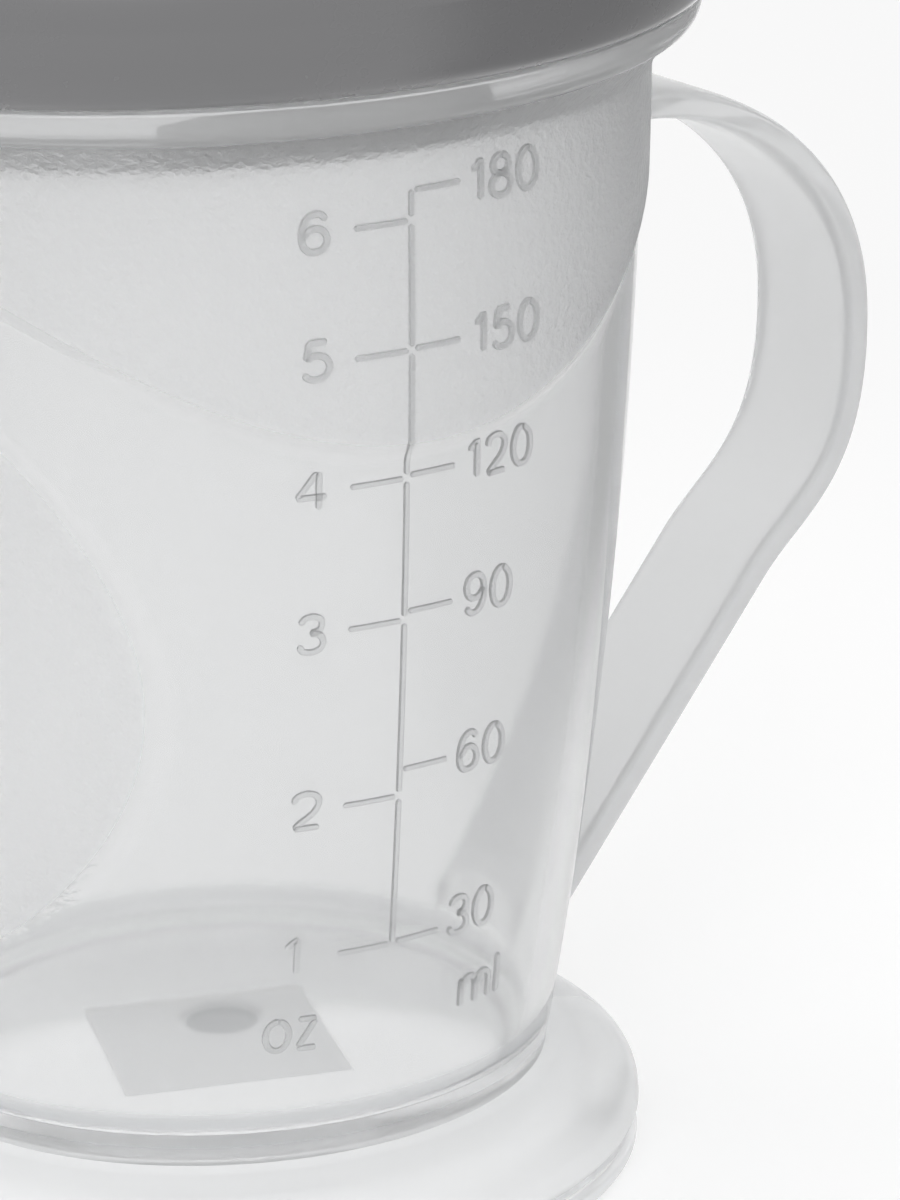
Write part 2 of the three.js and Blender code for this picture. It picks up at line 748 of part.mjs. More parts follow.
function buildFlipSpout() {
  const drumHalfLength = recessHalfWidth - runningGap * 2;
  let solid = leaned(spoutLoft(0, 0, 1))
    .add(crossBar(pivotY, pivotZ, drumRadius, drumHalfLength))
    .add(crossBar(pivotY, pivotZ, pinRadius, recessHalfWidth + pinLength));
  solid = solid.subtract(leaned(spoutLoft(-spoutWall, spoutHollowStartShare, spoutHollowEndShare)));
  const boreTopZ = pivotZ + spoutLength * spoutHollowStartShare + spoutBoreOverlap;
  solid = solid.subtract(uprightBar(0, pivotY, spoutBoreRadius, pivotZ - drumRadius - cutOverrun,
    boreTopZ));
  for (let i = 0; i < spoutTipHoleCount; i += 1) {
    const x = spoutTipHoleSpacing * (i - (spoutTipHoleCount - 1) / 2);
    solid = solid.subtract(tipHole(x));
  }
  return geometryOf(solid);
}

function buildOutletSeal() {
  const bottomZ = recessFloorZ - seatPocketDepth + runningGap;
  const topZ = pivotZ - drumRadius - runningGap;
  return geometryOf(revolve([
    [seatInnerRadius, bottomZ],
    [seatOuterRadius, bottomZ],
    [seatOuterRadius, topZ],
    [seatInnerRadius, topZ],
  ], smallSegments).translate([0, pivotY, 0]));
}

// Distance from the bounding box's middle to the cup's axis, set by the handle and the lid.
const axisX = (lidRadius - handleReach - handleThickness / 2) / 2;

function piece(name, geometry, color, roughness) {
  geometry.translate(axisX, 0, 0);
  const material = new THREE.MeshStandardMaterial({ color, roughness, metalness: 0 });
  const mesh = new THREE.Mesh(geometry, material);
  mesh.name = name;
  return mesh;
}

const trainingCup = new THREE.Group();
trainingCup.name = 'training_cup';
trainingCup.add(piece('cup_body', buildCupBody(), 0xdfe1e2, 0.3));
trainingCup.add(piece('lid_shell', buildLidShell(), 0x86868a, 0.28));
trainingCup.add(piece('sealing_ring', buildSealingRing(), 0xf1f1ee, 0.6));
trainingCup.add(piece('flip_spout', buildFlipSpout(), 0x86868a, 0.3));
trainingCup.add(piece('outlet_seal', buildOutletSeal(), 0xf1f1ee, 0.6));

export default trainingCup;
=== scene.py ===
"""Looks of a training cup: a one-handled translucent cup with a grey screw lid and a folding spout.

Lengths in the classes are in millimetres and are turned into metres where a mesh is made. The frame
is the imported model's: +Z up, the handle towards +X, the graduated scale and the spout towards -Y,
and the foot on the plane z = 0. The cup's own axis stands at x = CUP_AXIS_X. An azimuth is measured
from -Y towards +X.
"""

import logging
import math
from dataclasses import dataclass, field
from enum import Enum
from typing import Any, Callable, Iterable, Sequence

import bmesh
import bpy
import numpy as np
from mathutils import Matrix


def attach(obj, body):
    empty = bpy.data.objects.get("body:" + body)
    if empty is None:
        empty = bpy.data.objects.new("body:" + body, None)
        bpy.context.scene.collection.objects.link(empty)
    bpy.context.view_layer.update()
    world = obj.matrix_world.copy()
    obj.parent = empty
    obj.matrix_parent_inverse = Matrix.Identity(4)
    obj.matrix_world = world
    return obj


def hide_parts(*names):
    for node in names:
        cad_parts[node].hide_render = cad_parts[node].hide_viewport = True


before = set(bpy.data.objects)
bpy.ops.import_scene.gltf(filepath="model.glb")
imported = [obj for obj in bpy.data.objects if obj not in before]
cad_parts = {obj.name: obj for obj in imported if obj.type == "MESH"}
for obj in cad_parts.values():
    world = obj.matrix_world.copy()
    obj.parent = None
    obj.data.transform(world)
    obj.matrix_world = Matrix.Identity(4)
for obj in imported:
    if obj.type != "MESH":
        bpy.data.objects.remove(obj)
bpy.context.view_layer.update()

log = logging.getLogger("training_cup")

Array = np.ndarray
MM = 0.001
TURN = 2 * math.pi
CUP_AXIS_X = -8.725
AXIS_GUARD = 1e-9  # square metres, keeps a division by the squared radius safe on the axis


class Rider(Enum):
    """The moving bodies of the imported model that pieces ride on."""

    CUP = "cup"
    RING = "ring"
    LID = "lid"
    SPOUT = "spout"


class Carve(Enum):
    """How one closed mesh is combined with another."""

    ADD = "UNION"
    TAKE = "DIFFERENCE"
    KEEP_SHARED = "INTERSECT"


class Axis(Enum):
    """Direction that a turned solid is built along."""

    UP = "up"
    ACROSS = "across"


class Sock:
    """A shader value. Arithmetic on it adds Math nodes and gives another shader value."""

    def __init__(self, graph: "Graph", socket: bpy.types.NodeSocket) -> None:
        """Wraps an output socket of one graph."""
        self.graph = graph
        self.socket = socket

    def maths(self, operation: str, *values: Any) -> "Sock":
        """Adds one Math node.

        Args:
            operation: Blender's name of the operation.
            values: The node's inputs in order, as shader values or numbers.

        Returns:
            The node's result.
        """
        node = self.graph.node("ShaderNodeMath", {"operation": operation}, dict(enumerate(values)))
        return self.graph.out(node)

    def __add__(self, other: Any) -> "Sock":
        """Sum."""
        return self.maths("ADD", self, other)

    def __sub__(self, other: Any) -> "Sock":
        """Difference."""
        return self.maths("SUBTRACT", self, other)

    def __rsub__(self, other: Any) -> "Sock":
        """Difference with the number first."""
        return self.maths("SUBTRACT", other, self)

    def __mul__(self, other: Any) -> "Sock":
        """Product."""
        return self.maths("MULTIPLY", self, other)

    def __truediv__(self, other: Any) -> "Sock":
        """Quotient."""
        return self.maths("DIVIDE", self, other)

    def root(self) -> "Sock":
        """Square root."""
        return self.maths("SQRT", self)

    def size(self) -> "Sock":
        """Absolute value."""
        return self.maths("ABSOLUTE", self)

    def rises(self, low: Any, high: Any) -> "Sock":
        """Smooth step from 0 at low to 1 at high.

        Args:
            low: Value where the step starts.
            high: Value where it ends; it may be below low.

        Returns:
            The step as a shader value.
        """
        node = self.graph.node(
            "ShaderNodeMapRange",
            {"interpolation_type": "SMOOTHSTEP"},
            {"Value": self, "From Min": low, "From Max": high, "To Min": 0.0, "To Max": 1.0},
        )
        return self.graph.out(node, "Result")

    def rises_mm(self, low: float, high: float) -> "Sock":
        """Smooth step of a length in metres, with its two ends given in millimetres."""
        return self.rises(low * MM, high * MM)


class Graph:
    """Node tree of one material or of the surroundings, with a single method that adds any node."""

    def __init__(self, owner: bpy.types.Material | bpy.types.World) -> None:
        """Empties the owner's node tree."""
        self.owner = owner
        owner.use_nodes = True
        self.tree = owner.node_tree
        self.tree.nodes.clear()

    @classmethod
    def of_material(cls, name: str) -> "Graph":
        """Graph of a new material."""
        return cls(bpy.data.materials.new(name))

    def node(self, kind: str, settings: dict[str, Any] | None = None,
             inputs: dict[Any, Any] | None = None) -> bpy.types.Node:
        """Adds a node, sets its properties first and then feeds its sockets.

        Args:
            kind: Blender's node type.
            settings: Properties by name; stops holds a colour ramp's (position, colour) pairs.
            inputs: Values or links by socket name or index.

        Returns:
            The new node.
        """
        made = self.tree.nodes.new(kind)
        for key, value in (settings or {}).items():
            if key == "stops":
                ramp = made.color_ramp.elements
                while len(ramp) < len(value):
                    ramp.new(0.5)
                for element, (position, colour) in zip(ramp, value):
                    element.position = position
                    element.color = colour
            else:
                setattr(made, key, value)
        for key, value in (inputs or {}).items():
            socket = made.inputs[key]
            if isinstance(value, Sock):
                self.tree.links.new(value.socket, socket)
            else:
                socket.default_value = value
        return made

    def out(self, node: bpy.types.Node, key: Any = 0) -> Sock:
        """One output of a node as a shader value."""
        return Sock(self, node.outputs[key])

    def place(self) -> tuple[Sock, Sock, Sock, Sock]:
        """Object coordinates measured from the cup's axis.

        Returns:
            The position vector and its x, y and z, in metres, with x = 0 on the cup's axis.
        """
        coordinates = self.node("ShaderNodeTexCoord")
        centred = self.node(
            "ShaderNodeMapping",
            {"vector_type": "POINT"},
            {"Vector": self.out(coordinates, "Object"), "Location": (-CUP_AXIS_X * MM, 0.0, 0.0)},
        )
        vector = self.out(centred, "Vector")
        parts = self.node("ShaderNodeSeparateXYZ", None, {"Vector": vector})
        return vector, self.out(parts, "X"), self.out(parts, "Y"), self.out(parts, "Z")

    def noise(self, vector: Sock, per_metre: float, detail: float = 2.0, stretch: float = 0.5) -> Sock:
        """Cloudy noise between 0 and 1.

        Args:
            vector: Where it is read.
            per_metre: How many blobs fit in a metre.
            detail: Number of finer layers.
            stretch: Strength of each finer layer.

        Returns:
            The noise's value.
        """
        made = self.node("ShaderNodeTexNoise", None,
                         {"Vector": vector, "Scale": per_metre, "Detail": detail, "Roughness": stretch})
        return self.out(made, 0)

    def blend(self, factor: Sock, first: Sequence[float] | Sock, second: Sequence[float] | Sock) -> Sock:
        """Mixes two colours by a shader value.

        Args:
            factor: 0 gives the first colour and 1 the second.
            first: Colour as four numbers, or a shader value.
            second: Colour as four numbers, or a shader value.

        Returns:
            The mixed colour.
        """
        made = self.node("ShaderNodeMix", {"data_type": "RGBA"}, {"Factor": factor, 6: first, 7: second})
        return self.out(made, 2)

    def bump(self, height: Sock, depth: float, strength: float = 1.0) -> Sock:
        """Surface relief from a height between 0 and 1 and a depth in metres."""
        made = self.node("ShaderNodeBump", None,
                         {"Height": height, "Distance": depth, "Strength": strength})
        return self.out(made, "Normal")

    def along(self, vector: Sock, direction: Sequence[float]) -> Sock:
        """Length of a vector along a direction."""
        made = self.node("ShaderNodeVectorMath", {"operation": "DOT_PRODUCT"}, {0: vector, 1: direction})
        return self.out(made, "Value")

    def mixed(self, factor: Any, first: bpy.types.Node, second: bpy.types.Node) -> bpy.types.Node:
        """Mixes two shaders by a shader value or a number."""
        return self.node("ShaderNodeMixShader", None, {0: factor, 1: self.out(first), 2: self.out(second)})

    def close(self, surface: bpy.types.Node) -> bpy.types.Material:
        """Joins a shader to the material's output and returns the material."""
        self.node("ShaderNodeOutputMaterial", None, {"Surface": self.out(surface)})
        return self.owner


@dataclass(frozen=True)
class CupForm:
    """Sizes of the plain wall and of the wavy line, which the moulding and its finish share."""

    foot_z: float = 8.1
    foot_wall_radius: float = 24.2
    top_z: float = 83.2
    top_radius: float = 33.1
    bulge: float = 1.57
    trough_z: float = 62.6
    wave_rise: float = 18.0

    def wall_radius(self, z: Array) -> Array:
        """Outer radius of the plain wall: a straight taper plus a parabola that bulges in the middle."""
        share = (z - self.foot_z) / (self.top_z - self.foot_z)
        return (self.foot_wall_radius + (self.top_radius - self.foot_wall_radius) * share
                + 4 * self.bulge * share * (1 - share))

    def wave_z(self, azimuth: Array) -> Array:
        """Height of the wavy line: its trough plus its rise times the squared sine of the azimuth."""
        return self.trough_z + self.wave_rise * np.sin(azimuth) ** 2


@dataclass(frozen=True)
class MilkyClear:
    """How a translucent plastic passes and scatters light: part clear glass and part milk.

    At each crossing of the surface the milky share of the light is scattered, half of it onwards
    and half of it back, and the rest is refracted.
    """

    glass_tint: tuple[float, float, float] = (0.985, 0.988, 0.99)
    milk_tint: tuple[float, float, float] = (0.955, 0.96, 0.965)
    index: float = 1.49
    onward: float = 0.5

    def shade(self, g: Graph, milk: Any, rough: Any, normal: Sock,
              tint: Sock | None = None) -> bpy.types.Node:
        """Adds the shader.

        Args:
            g: Graph that it goes into.
            milk: Share of milk.
            rough: Roughness of the surface.
            normal: Relief.
            tint: Colour of the milk that scatters light back, where it varies.

        Returns:
            The mixed shader.
        """
        plain = (*self.milk_tint, 1.0)
        glass = g.node("ShaderNodeBsdfPrincipled", None, {
            "Base Color": (*self.glass_tint, 1.0), "Roughness": rough, "IOR": self.index,
            "Transmission Weight": 1.0, "Normal": normal})
        back = g.node("ShaderNodeBsdfPrincipled", None, {
            "Base Color": plain if tint is None else tint, "Roughness": rough, "IOR": self.index,
            "Normal": normal})
        through = g.node("ShaderNodeBsdfTranslucent", None, {"Color": plain, "Normal": normal})
        return g.mixed(milk, glass, g.mixed(self.onward, back, through))


@dataclass(frozen=True)
class ClearMoulding:
    """Translucent plastic skin: glossy below the wavy line, finely grained above it and on the disc.

    The wavy line, the disc, the handle and the collar's crease are found from Object coordinates:
    with x and y measured from the cup's axis, the line's height is its trough plus its rise times
    the squared sine of the azimuth, which is x squared over the squared radius, and the handle is
    what stands further out than the wall's own radius at its height. The foot is what lies low and
    outside the floor's radius. The borders of the grained zones are polished clear. A fade says how
    far, in millimetres, a zone takes to set in.
    """

    name: str = "clear_moulding"
    plastic: MilkyClear = MilkyClear()
    form: CupForm = CupForm()
    milk: float = 0.17
    grain_milk: float = 0.17
    handle_milk: float = 0.3
    collar_milk: float = 0.25
    foot_milk: float = 0.4
    border_milk: float = 0.12
    cloud_milk: float = 0.05
    cloud_per_metre: float = 45.0
    cloud_roughness: float = 0.03
    gloss_roughness: float = 0.05
    grain_roughness: float = 0.36
    grain_size: float = 0.6
    grain_coarsening: float = 2.6
    grain_fine_share: float = 0.65
    grain_depth: float = 0.3
    grain_strength: float = 0.8
    wave_fade: tuple[float, float] = (-0.8, 1.4)
    border_width: float = 1.5
    border_core_share: float = 0.25
    crease_height: float = 86.2
    crease_fade: float = 0.3
    foot_below: float = 10.6
    foot_below_fade: float = 2.0
    foot_beyond: float = 22.5
    foot_beyond_fade: tuple[float, float] = (-1.0, 0.5)
    disc_middle: tuple[float, float] = (2.45, 48.07)
    disc_radius: float = 26.54
    disc_fade: tuple[float, float] = (0.8, -1.0)
    disc_side: tuple[float, float] = (-2.0, -4.0)
    handle_half_width: float = 7.2
    handle_clear_of_wall: float = 1.0
    handle_fade: float = 0.2
    handle_side: tuple[float, float] = (0.0, 5.0)
    handle_below: float = 81.0
    handle_below_fade: float = 0.5

    def material(self) -> bpy.types.Material:
        """Builds the material."""
        g = Graph.of_material(self.name)
        form = self.form
        vector, x, y, z = g.place()
        squared = x * x + y * y + AXIS_GUARD
        wave = x * x / squared * (form.wave_rise * MM) + form.trough_z * MM
        above = (z - wave).rises_mm(*self.wave_fade)
        collar = z.rises_mm(self.crease_height - self.crease_fade, self.crease_height + self.crease_fade)
        share = (z - form.foot_z * MM) / ((form.top_z - form.foot_z) * MM)
        wall = (share * (form.top_radius - form.foot_wall_radius) + form.foot_wall_radius
                + share * (1.0 - share) * (4 * form.bulge)) * MM
        clear, fade = self.handle_clear_of_wall, self.handle_fade
        outward = (squared.root() - wall).rises_mm(clear - fade, clear + fade)
        narrow = y.size().rises_mm(self.handle_half_width + fade, self.handle_half_width)
        handle = (outward * narrow * x.rises_mm(*self.handle_side)
                  * z.rises_mm(self.handle_below + self.handle_below_fade, self.handle_below))
        upper = above * (1.0 - collar) * (1.0 - handle)
        across, up = y - self.disc_middle[0] * MM, z - self.disc_middle[1] * MM
        from_disc = (across * across + up * up).root()
        disc = from_disc.rises_mm(self.disc_radius + self.disc_fade[0], self.disc_radius + self.disc_fade[1])
        disc = disc * x.rises_mm(*self.disc_side)
        border = (self.border_width, self.border_width * self.border_core_share)
        disc_border = ((from_disc - self.disc_radius * MM).size().rises_mm(*border) * (1.0 - above)
                       * x.rises_mm(*self.disc_side))
        wave_border = (z - wave).size().rises_mm(*border) * (1.0 - disc)
        polished = disc_border.maths("MAXIMUM", disc_border, wave_border) * (1.0 - handle)
        grained = upper.maths("MAXIMUM", upper, disc)
        fine = g.noise(vector, 1000.0 / self.grain_size, 2.0, 0.6)
        coarse = g.noise(vector, 1000.0 / (self.grain_size * self.grain_coarsening))
        cloud = g.noise(vector, self.cloud_per_metre)
        rough = grained * (self.grain_roughness - self.gloss_roughness) + self.gloss_roughness
        rough = rough + cloud * self.cloud_roughness
        height = ((fine - 0.5) * self.grain_fine_share
                  + (coarse - 0.5) * (1 - self.grain_fine_share)) * grained
        low = z.rises_mm(self.foot_below, self.foot_below - self.foot_below_fade)
        near, far = self.foot_beyond_fade
        foot = low * squared.root().rises_mm(self.foot_beyond + near, self.foot_beyond + far)
        milk = (grained * self.grain_milk + handle * self.handle_milk + collar * self.collar_milk
                + foot * self.foot_milk + cloud * self.cloud_milk - polished * self.border_milk + self.milk)
        normal = g.bump(height, self.grain_depth * MM, self.grain_strength)
        return g.close(self.plastic.shade(g, milk, rough, normal))


@dataclass(frozen=True)
class ClearInside:
    """Inner face of the translucent moulding: a soft haze, with a bare pad and a gate mark below.

    The pad and the mark lie on the floor; the mark is tinted dark grey as painted shade in its recess.
    The ring where the floor meets the wall is tinted grey as painted shade. A fade says how far, in
    millimetres, a zone takes to set in.
    """

    name: str = "clear_inside"
    plastic: MilkyClear = MilkyClear()
    milk: float = 0.17
    pad_milk: float = 0.3
    pad_tint: tuple[float, float, float] = (0.80, 0.815, 0.83)
    pad_roughness: float = 0.25
    haze_roughness: float = 0.06
    cloud_per_metre: float = 60.0
    cloud_roughness: float = 0.03
    streaks_per_metre: float = 420.0
    streak_depth: float = 0.012
    streak_strength: float = 0.5
    floor_height: float = 10.6
    floor_fade: tuple[float, float] = (0.8, 0.4)
    pad_middle: tuple[float, float] = (-2.6, -3.4)
    pad_half_length: float = 8.4
    pad_half_width: float = 8.9
    pad_turn_degrees: float = -19.0
    pad_fade: float = 0.15
    gate_radius: float = 2.75
    gate_fade: tuple[float, float] = (0.1, -0.15)
    gate_shade_milk: float = 0.5
    gate_shade_tint: tuple[float, float, float] = (0.22, 0.24, 0.27)
    corner_shade_heights: tuple[float, float] = (11.0, 12.3)
    corner_shade_low_fade: float = 0.4
    corner_shade_high_fade: tuple[float, float] = (0.7, -0.5)
    corner_shade_milk: float = 0.32
    corner_shade_tint: tuple[float, float, float] = (0.4, 0.43, 0.47)

    def material(self) -> bpy.types.Material:
        """Builds the material. The pad is a rectangle turned about its middle."""
        g = Graph.of_material(self.name)
        vector, x, y, z = g.place()
        outer, inner = self.gate_fade
        gate = (x * x + y * y).root().rises_mm(self.gate_radius + outer, self.gate_radius + inner)
        turn, fade = math.radians(self.pad_turn_degrees), self.pad_fade
        x, y = x - self.pad_middle[0] * MM, y - self.pad_middle[1] * MM
        along = x * math.cos(turn) + y * math.sin(turn)
        across = y * math.cos(turn) - x * math.sin(turn)
        in_length = along.size().rises_mm(self.pad_half_length + fade, self.pad_half_length - fade)
        in_width = across.size().rises_mm(self.pad_half_width + fade, self.pad_half_width - fade)
        on_floor = z.rises_mm(*(self.floor_height + rise for rise in self.floor_fade))
        pad = in_length * in_width * on_floor
        gate = gate * on_floor
        # ring: painted shade, a grey band where the floor meets the wall
        low, high = self.corner_shade_heights
        ring = (z.rises_mm(low, low + self.corner_shade_low_fade)
                * z.rises_mm(*(high + rise for rise in self.corner_shade_high_fade)))
        cloud = g.noise(vector, self.cloud_per_metre)
        streaks = g.noise(vector, self.streaks_per_metre)
        rough = pad * self.pad_roughness + cloud * self.cloud_roughness + self.haze_roughness
        tint = g.blend(pad, (*self.plastic.milk_tint, 1.0), (*self.pad_tint, 1.0))
        # painted shade: the gate mark's recess is tinted dark grey
        tint = g.blend(gate, tint, (*self.gate_shade_tint, 1.0))
        tint = g.blend(ring, tint, (*self.corner_shade_tint, 1.0))
        milk = pad * self.pad_milk + gate * self.gate_shade_milk + ring * self.corner_shade_milk + self.milk
        normal = g.bump(streaks, self.streak_depth * MM, self.streak_strength)
        return g.close(self.plastic.shade(g, milk, rough, normal, tint))


@dataclass(frozen=True)
class GreyPlastic:
    """Opaque grey plastic with a clear gloss and a faint unevenness in its reflections."""

    name: str = "grey_plastic"
    shade: tuple[float, float, float] = (0.128, 0.128, 0.132)
    light_shade: tuple[float, float, float] = (0.14, 0.139, 0.143)
    roughness: float = 0.2
    wear_roughness: float = 0.1
    wear_per_metre: float = 38.0
    fine_roughness: float = 0.04
    fine_per_metre: float = 900.0
    ripple_per_metre: float = 120.0
    ripple_depth: float = 0.05
    ripple_strength: float = 0.35
    index: float = 1.5
    coat_roughness: float = 0.06

    def material(self) -> bpy.types.Material:
        """Builds the material."""
        g = Graph.of_material(self.name)
        vector, _, _, _ = g.place()
        wear = g.noise(vector, self.wear_per_metre, 3.0)
        fine = g.noise(vector, self.fine_per_metre)
        ripple = g.noise(vector, self.ripple_per_metre, 1.0)
        body = g.node("ShaderNodeBsdfPrincipled", None, {
            "Base Color": g.blend(wear, (*self.shade, 1.0), (*self.light_shade, 1.0)),
            "Roughness": wear * self.wear_roughness + fine * self.fine_roughness + self.roughness,
            "IOR": self.index,
            "Coat Weight": 1.0,
            "Coat Roughness": self.coat_roughness,
            "Normal": g.bump(ripple, self.ripple_depth * MM, self.ripple_strength),
        })
        return g.close(body)


@dataclass(frozen=True)
class MilkySilicone:
    """Soft milky seal material with a dull skin."""

    name: str = "milky_silicone"
    shade: tuple[float, float, float] = (0.82, 0.82, 0.80)
    shade_thin: tuple[float, float, float] = (0.88, 0.88, 0.86)
    cloud_per_metre: float = 110.0
    skin_per_metre: float = 2400.0
    skin_depth: float = 0.02
    skin_strength: float = 0.6
    roughness: float = 0.46
    skin_roughness: float = 0.12
    depth_weight: float = 0.15
    depth: float = 2.0
    index: float = 1.41

    def material(self) -> bpy.types.Material:
        """Builds the material."""
        g = Graph.of_material(self.name)
        vector, _, _, _ = g.place()
        cloud = g.noise(vector, self.cloud_per_metre)
        skin = g.noise(vector, self.skin_per_metre)
        body = g.node("ShaderNodeBsdfPrincipled", None, {
            "Base Color": g.blend(cloud, (*self.shade, 1.0), (*self.shade_thin, 1.0)),
            "Roughness": skin * self.skin_roughness + self.roughness,
            "Subsurface Weight": self.depth_weight,
            "Subsurface Scale": self.depth * MM,
            "IOR": self.index,
            "Normal": g.bump(skin, self.skin_depth * MM, self.skin_strength),
        })
        return g.close(body)


@dataclass(frozen=True)
class StudioPaper:
    """Pale matt floor with a painted glow from below, brightest under the foot as a painted pool of light."""

    name: str = "studio_paper"
    shade: tuple[float, float, float] = (0.5, 0.5, 0.5)
    shade_low: tuple[float, float, float] = (0.495, 0.495, 0.497)
    glow: float = 0.86
    glow_share_around: float = 0.634
    painted_light_pool_radius: float = 30.0
    painted_light_pool_fade: float = 6.0
    far_radii: tuple[float, float] = (70.0, 260.0)
    far_share: float = 0.86
    dim_side: tuple[float, float, float] = (0.966, -0.259, 0.0)
    dim_beyond: tuple[float, float, float] = (0.797, -0.611, 0.0)
    dim_fan: tuple[float, float] = (0.45, 0.8)
    dim_from: float = 50.0
    dim_fade: float = 55.0
    painted_shade_glow_share: float = 0.24
    painted_shade_colour: tuple[float, float, float] = (0.31, 0.31, 0.312)
    cloud_per_metre: float = 6.0
    roughness: float = 0.85
    cloud_roughness: float = 0.05

    def material(self) -> bpy.types.Material:
        """Builds the material.

        The painted pool of light under the foot fades out between two radii, and the painted glow weakens
        further out. The floor is painted darker and dimmer, as painted shade, to the right of what the
        camera sees, in a wide soft fan round one direction. The fan's ends are cosines of the angle to that
        direction.
        """
        g = Graph.of_material(self.name)
        vector, x, y, _ = g.place()
        cloud = g.noise(vector, self.cloud_per_metre)
        reach = (x * x + y * y + AXIS_GUARD).root()
        # painted pool of light under the foot, which washes out the cup's shadow
        painted_light_pool = reach.rises_mm(self.painted_light_pool_radius, self.painted_light_pool_radius - self.painted_light_pool_fade)
        # painted shade: a darker, dimmer fan of floor to the camera's right
        side = (g.along(vector, self.dim_side) / reach).rises(*self.dim_fan)
        beyond = g.along(vector, self.dim_beyond)
        painted_shade_fan = side * beyond.rises_mm(self.dim_from, self.dim_from + self.dim_fade)
        # the glow is painted light: weaker far out, faint in the painted shade fan
        lit, faint = self.glow_share_around, self.glow_share_around * self.painted_shade_glow_share
        fading = self.glow_share_around * self.far_share
        far = reach.rises_mm(*self.far_radii)
        around = g.blend(far, (lit, lit, lit, 1.0), (fading, fading, fading, 1.0))
        around = g.blend(painted_shade_fan, around, (faint, faint, faint, 1.0))
        paper = g.blend(cloud, (*self.shade, 1.0), (*self.shade_low, 1.0))
        body = g.node("ShaderNodeBsdfPrincipled", None, {
            "Base Color": g.blend(painted_shade_fan, paper, (*self.painted_shade_colour, 1.0)),
            "Roughness": cloud * self.cloud_roughness + self.roughness,
            "Specular IOR Level": 0.0,
            "Emission Color": g.blend(painted_light_pool, around, (1.0, 1.0, 1.0, 1.0)),
            "Emission Strength": self.glow,
        })
        return g.close(body)


def smooth_step(value: Array | float) -> Array:
    """Smooth step: 0 below 0, 1 above 1, and three times the square less twice the cube between."""
    held = np.clip(value, 0.0, 1.0)
    return held * held * (3.0 - 2.0 * held)


def soften(corners: Sequence[Sequence[float]], cut: float | Sequence[float], steps: int = 5) -> Array:
    """Rounds the inner corners of an open polyline.

    Each corner B is replaced by the curve (1-t)^2 A + 2t(1-t) B + t^2 C, where A and C lie on the
    two sides, at the cut length from B but no further than 0.48 of the side.

    Args:
        corners: The polyline's points, as rows of two or three numbers.
        cut: The cut length, one for all inner corners or one each.
        steps: Points per rounded corner, less one.

    Returns:
        The rounded polyline as an array of points.
    """
    p = np.asarray(corners, float)
    before, at, after = p[:-2], p[1:-1], p[2:]
    reach_in = np.linalg.norm(before - at, axis=1)
    reach_out = np.linalg.norm(after - at, axis=1)
    length = np.minimum(np.broadcast_to(cut, reach_in.shape), 0.48 * np.minimum(reach_in, reach_out))
    a = at + (before - at) * (length / reach_in)[:, None]
    c = at + (after - at) * (length / reach_out)[:, None]
    t = np.linspace(0.0, 1.0, steps + 1)[None, :, None]
    curve = (1 - t) ** 2 * a[:, None] + 2 * t * (1 - t) * at[:, None] + t ** 2 * c[:, None]
    return np.vstack([p[:1], curve.reshape(-1, p.shape[1]), p[-1:]])


def flowing(knots: Array, count: int) -> Array:
    """Smooth curve through knots, as Catmull-Rom pieces sampled evenly in the knots' index.

    Args:
        knots: Rows of values, one row for each knot.
        count: How many points are wanted.

    Returns:
        The curve's points as an array of count rows.
    """
    k = np.asarray(knots, float)
    padded = np.vstack([2 * k[0] - k[1], k, 2 * k[-1] - k[-2]])
    s = np.linspace(0.0, len(k) - 1.0, count)
    i = np.minimum(s.astype(int), len(k) - 2)
    t = (s - i)[:, None]
    p0, p1, p2, p3 = padded[i], padded[i + 1], padded[i + 2], padded[i + 3]
    return 0.5 * (2 * p1 + (p2 - p0) * t + (2 * p0 - 5 * p1 + 4 * p2 - p3) * t ** 2
                  + (3 * p1 - p0 - 3 * p2 + p3) * t ** 3)


def tube_faces(rows: int, columns: int) -> Array:
    """Four vertex indices for each quad of a grid whose rows are closed rings.

    Args:
        rows: Number of rings.
        columns: Points per ring.

    Returns:
        The indices as an array of quads x 4.
    """
    i = np.arange(rows - 1)[:, None]
    j = np.arange(columns)[None, :]
    after = (j + 1) % columns
    quads = np.stack([i * columns + j, i * columns + after, (i + 1) * columns + after,
                      (i + 1) * columns + j], axis=-1)
    return quads.reshape(-1, 4)


def closed_skin(rings: Array, first: int = 0) -> tuple[Array, Array, Array]:
    """Parts of a closed skin over rings of points, with a fan from each end ring to its middle.

    Args:
        rings: Points as rows x columns x 3.
        first: Index that its first vertex will have.

    Returns:
        The points, the quads between the rings and the triangles of the two fans.
    """
    rows, columns = rings.shape[:2]
    points = np.vstack([rings.reshape(-1, 3), rings[0].mean(axis=0), rings[-1].mean(axis=0)])
    j = np.arange(columns)
    after = (j + 1) % columns
    middle, last = rows * columns, (rows - 1) * columns
    fans = np.vstack([np.stack([np.full(columns, middle), after, j], axis=1),
                      np.stack([np.full(columns, middle + 1), last + j, last + after], axis=1)])
    return points, tube_faces(rows, columns) + first, fans + first


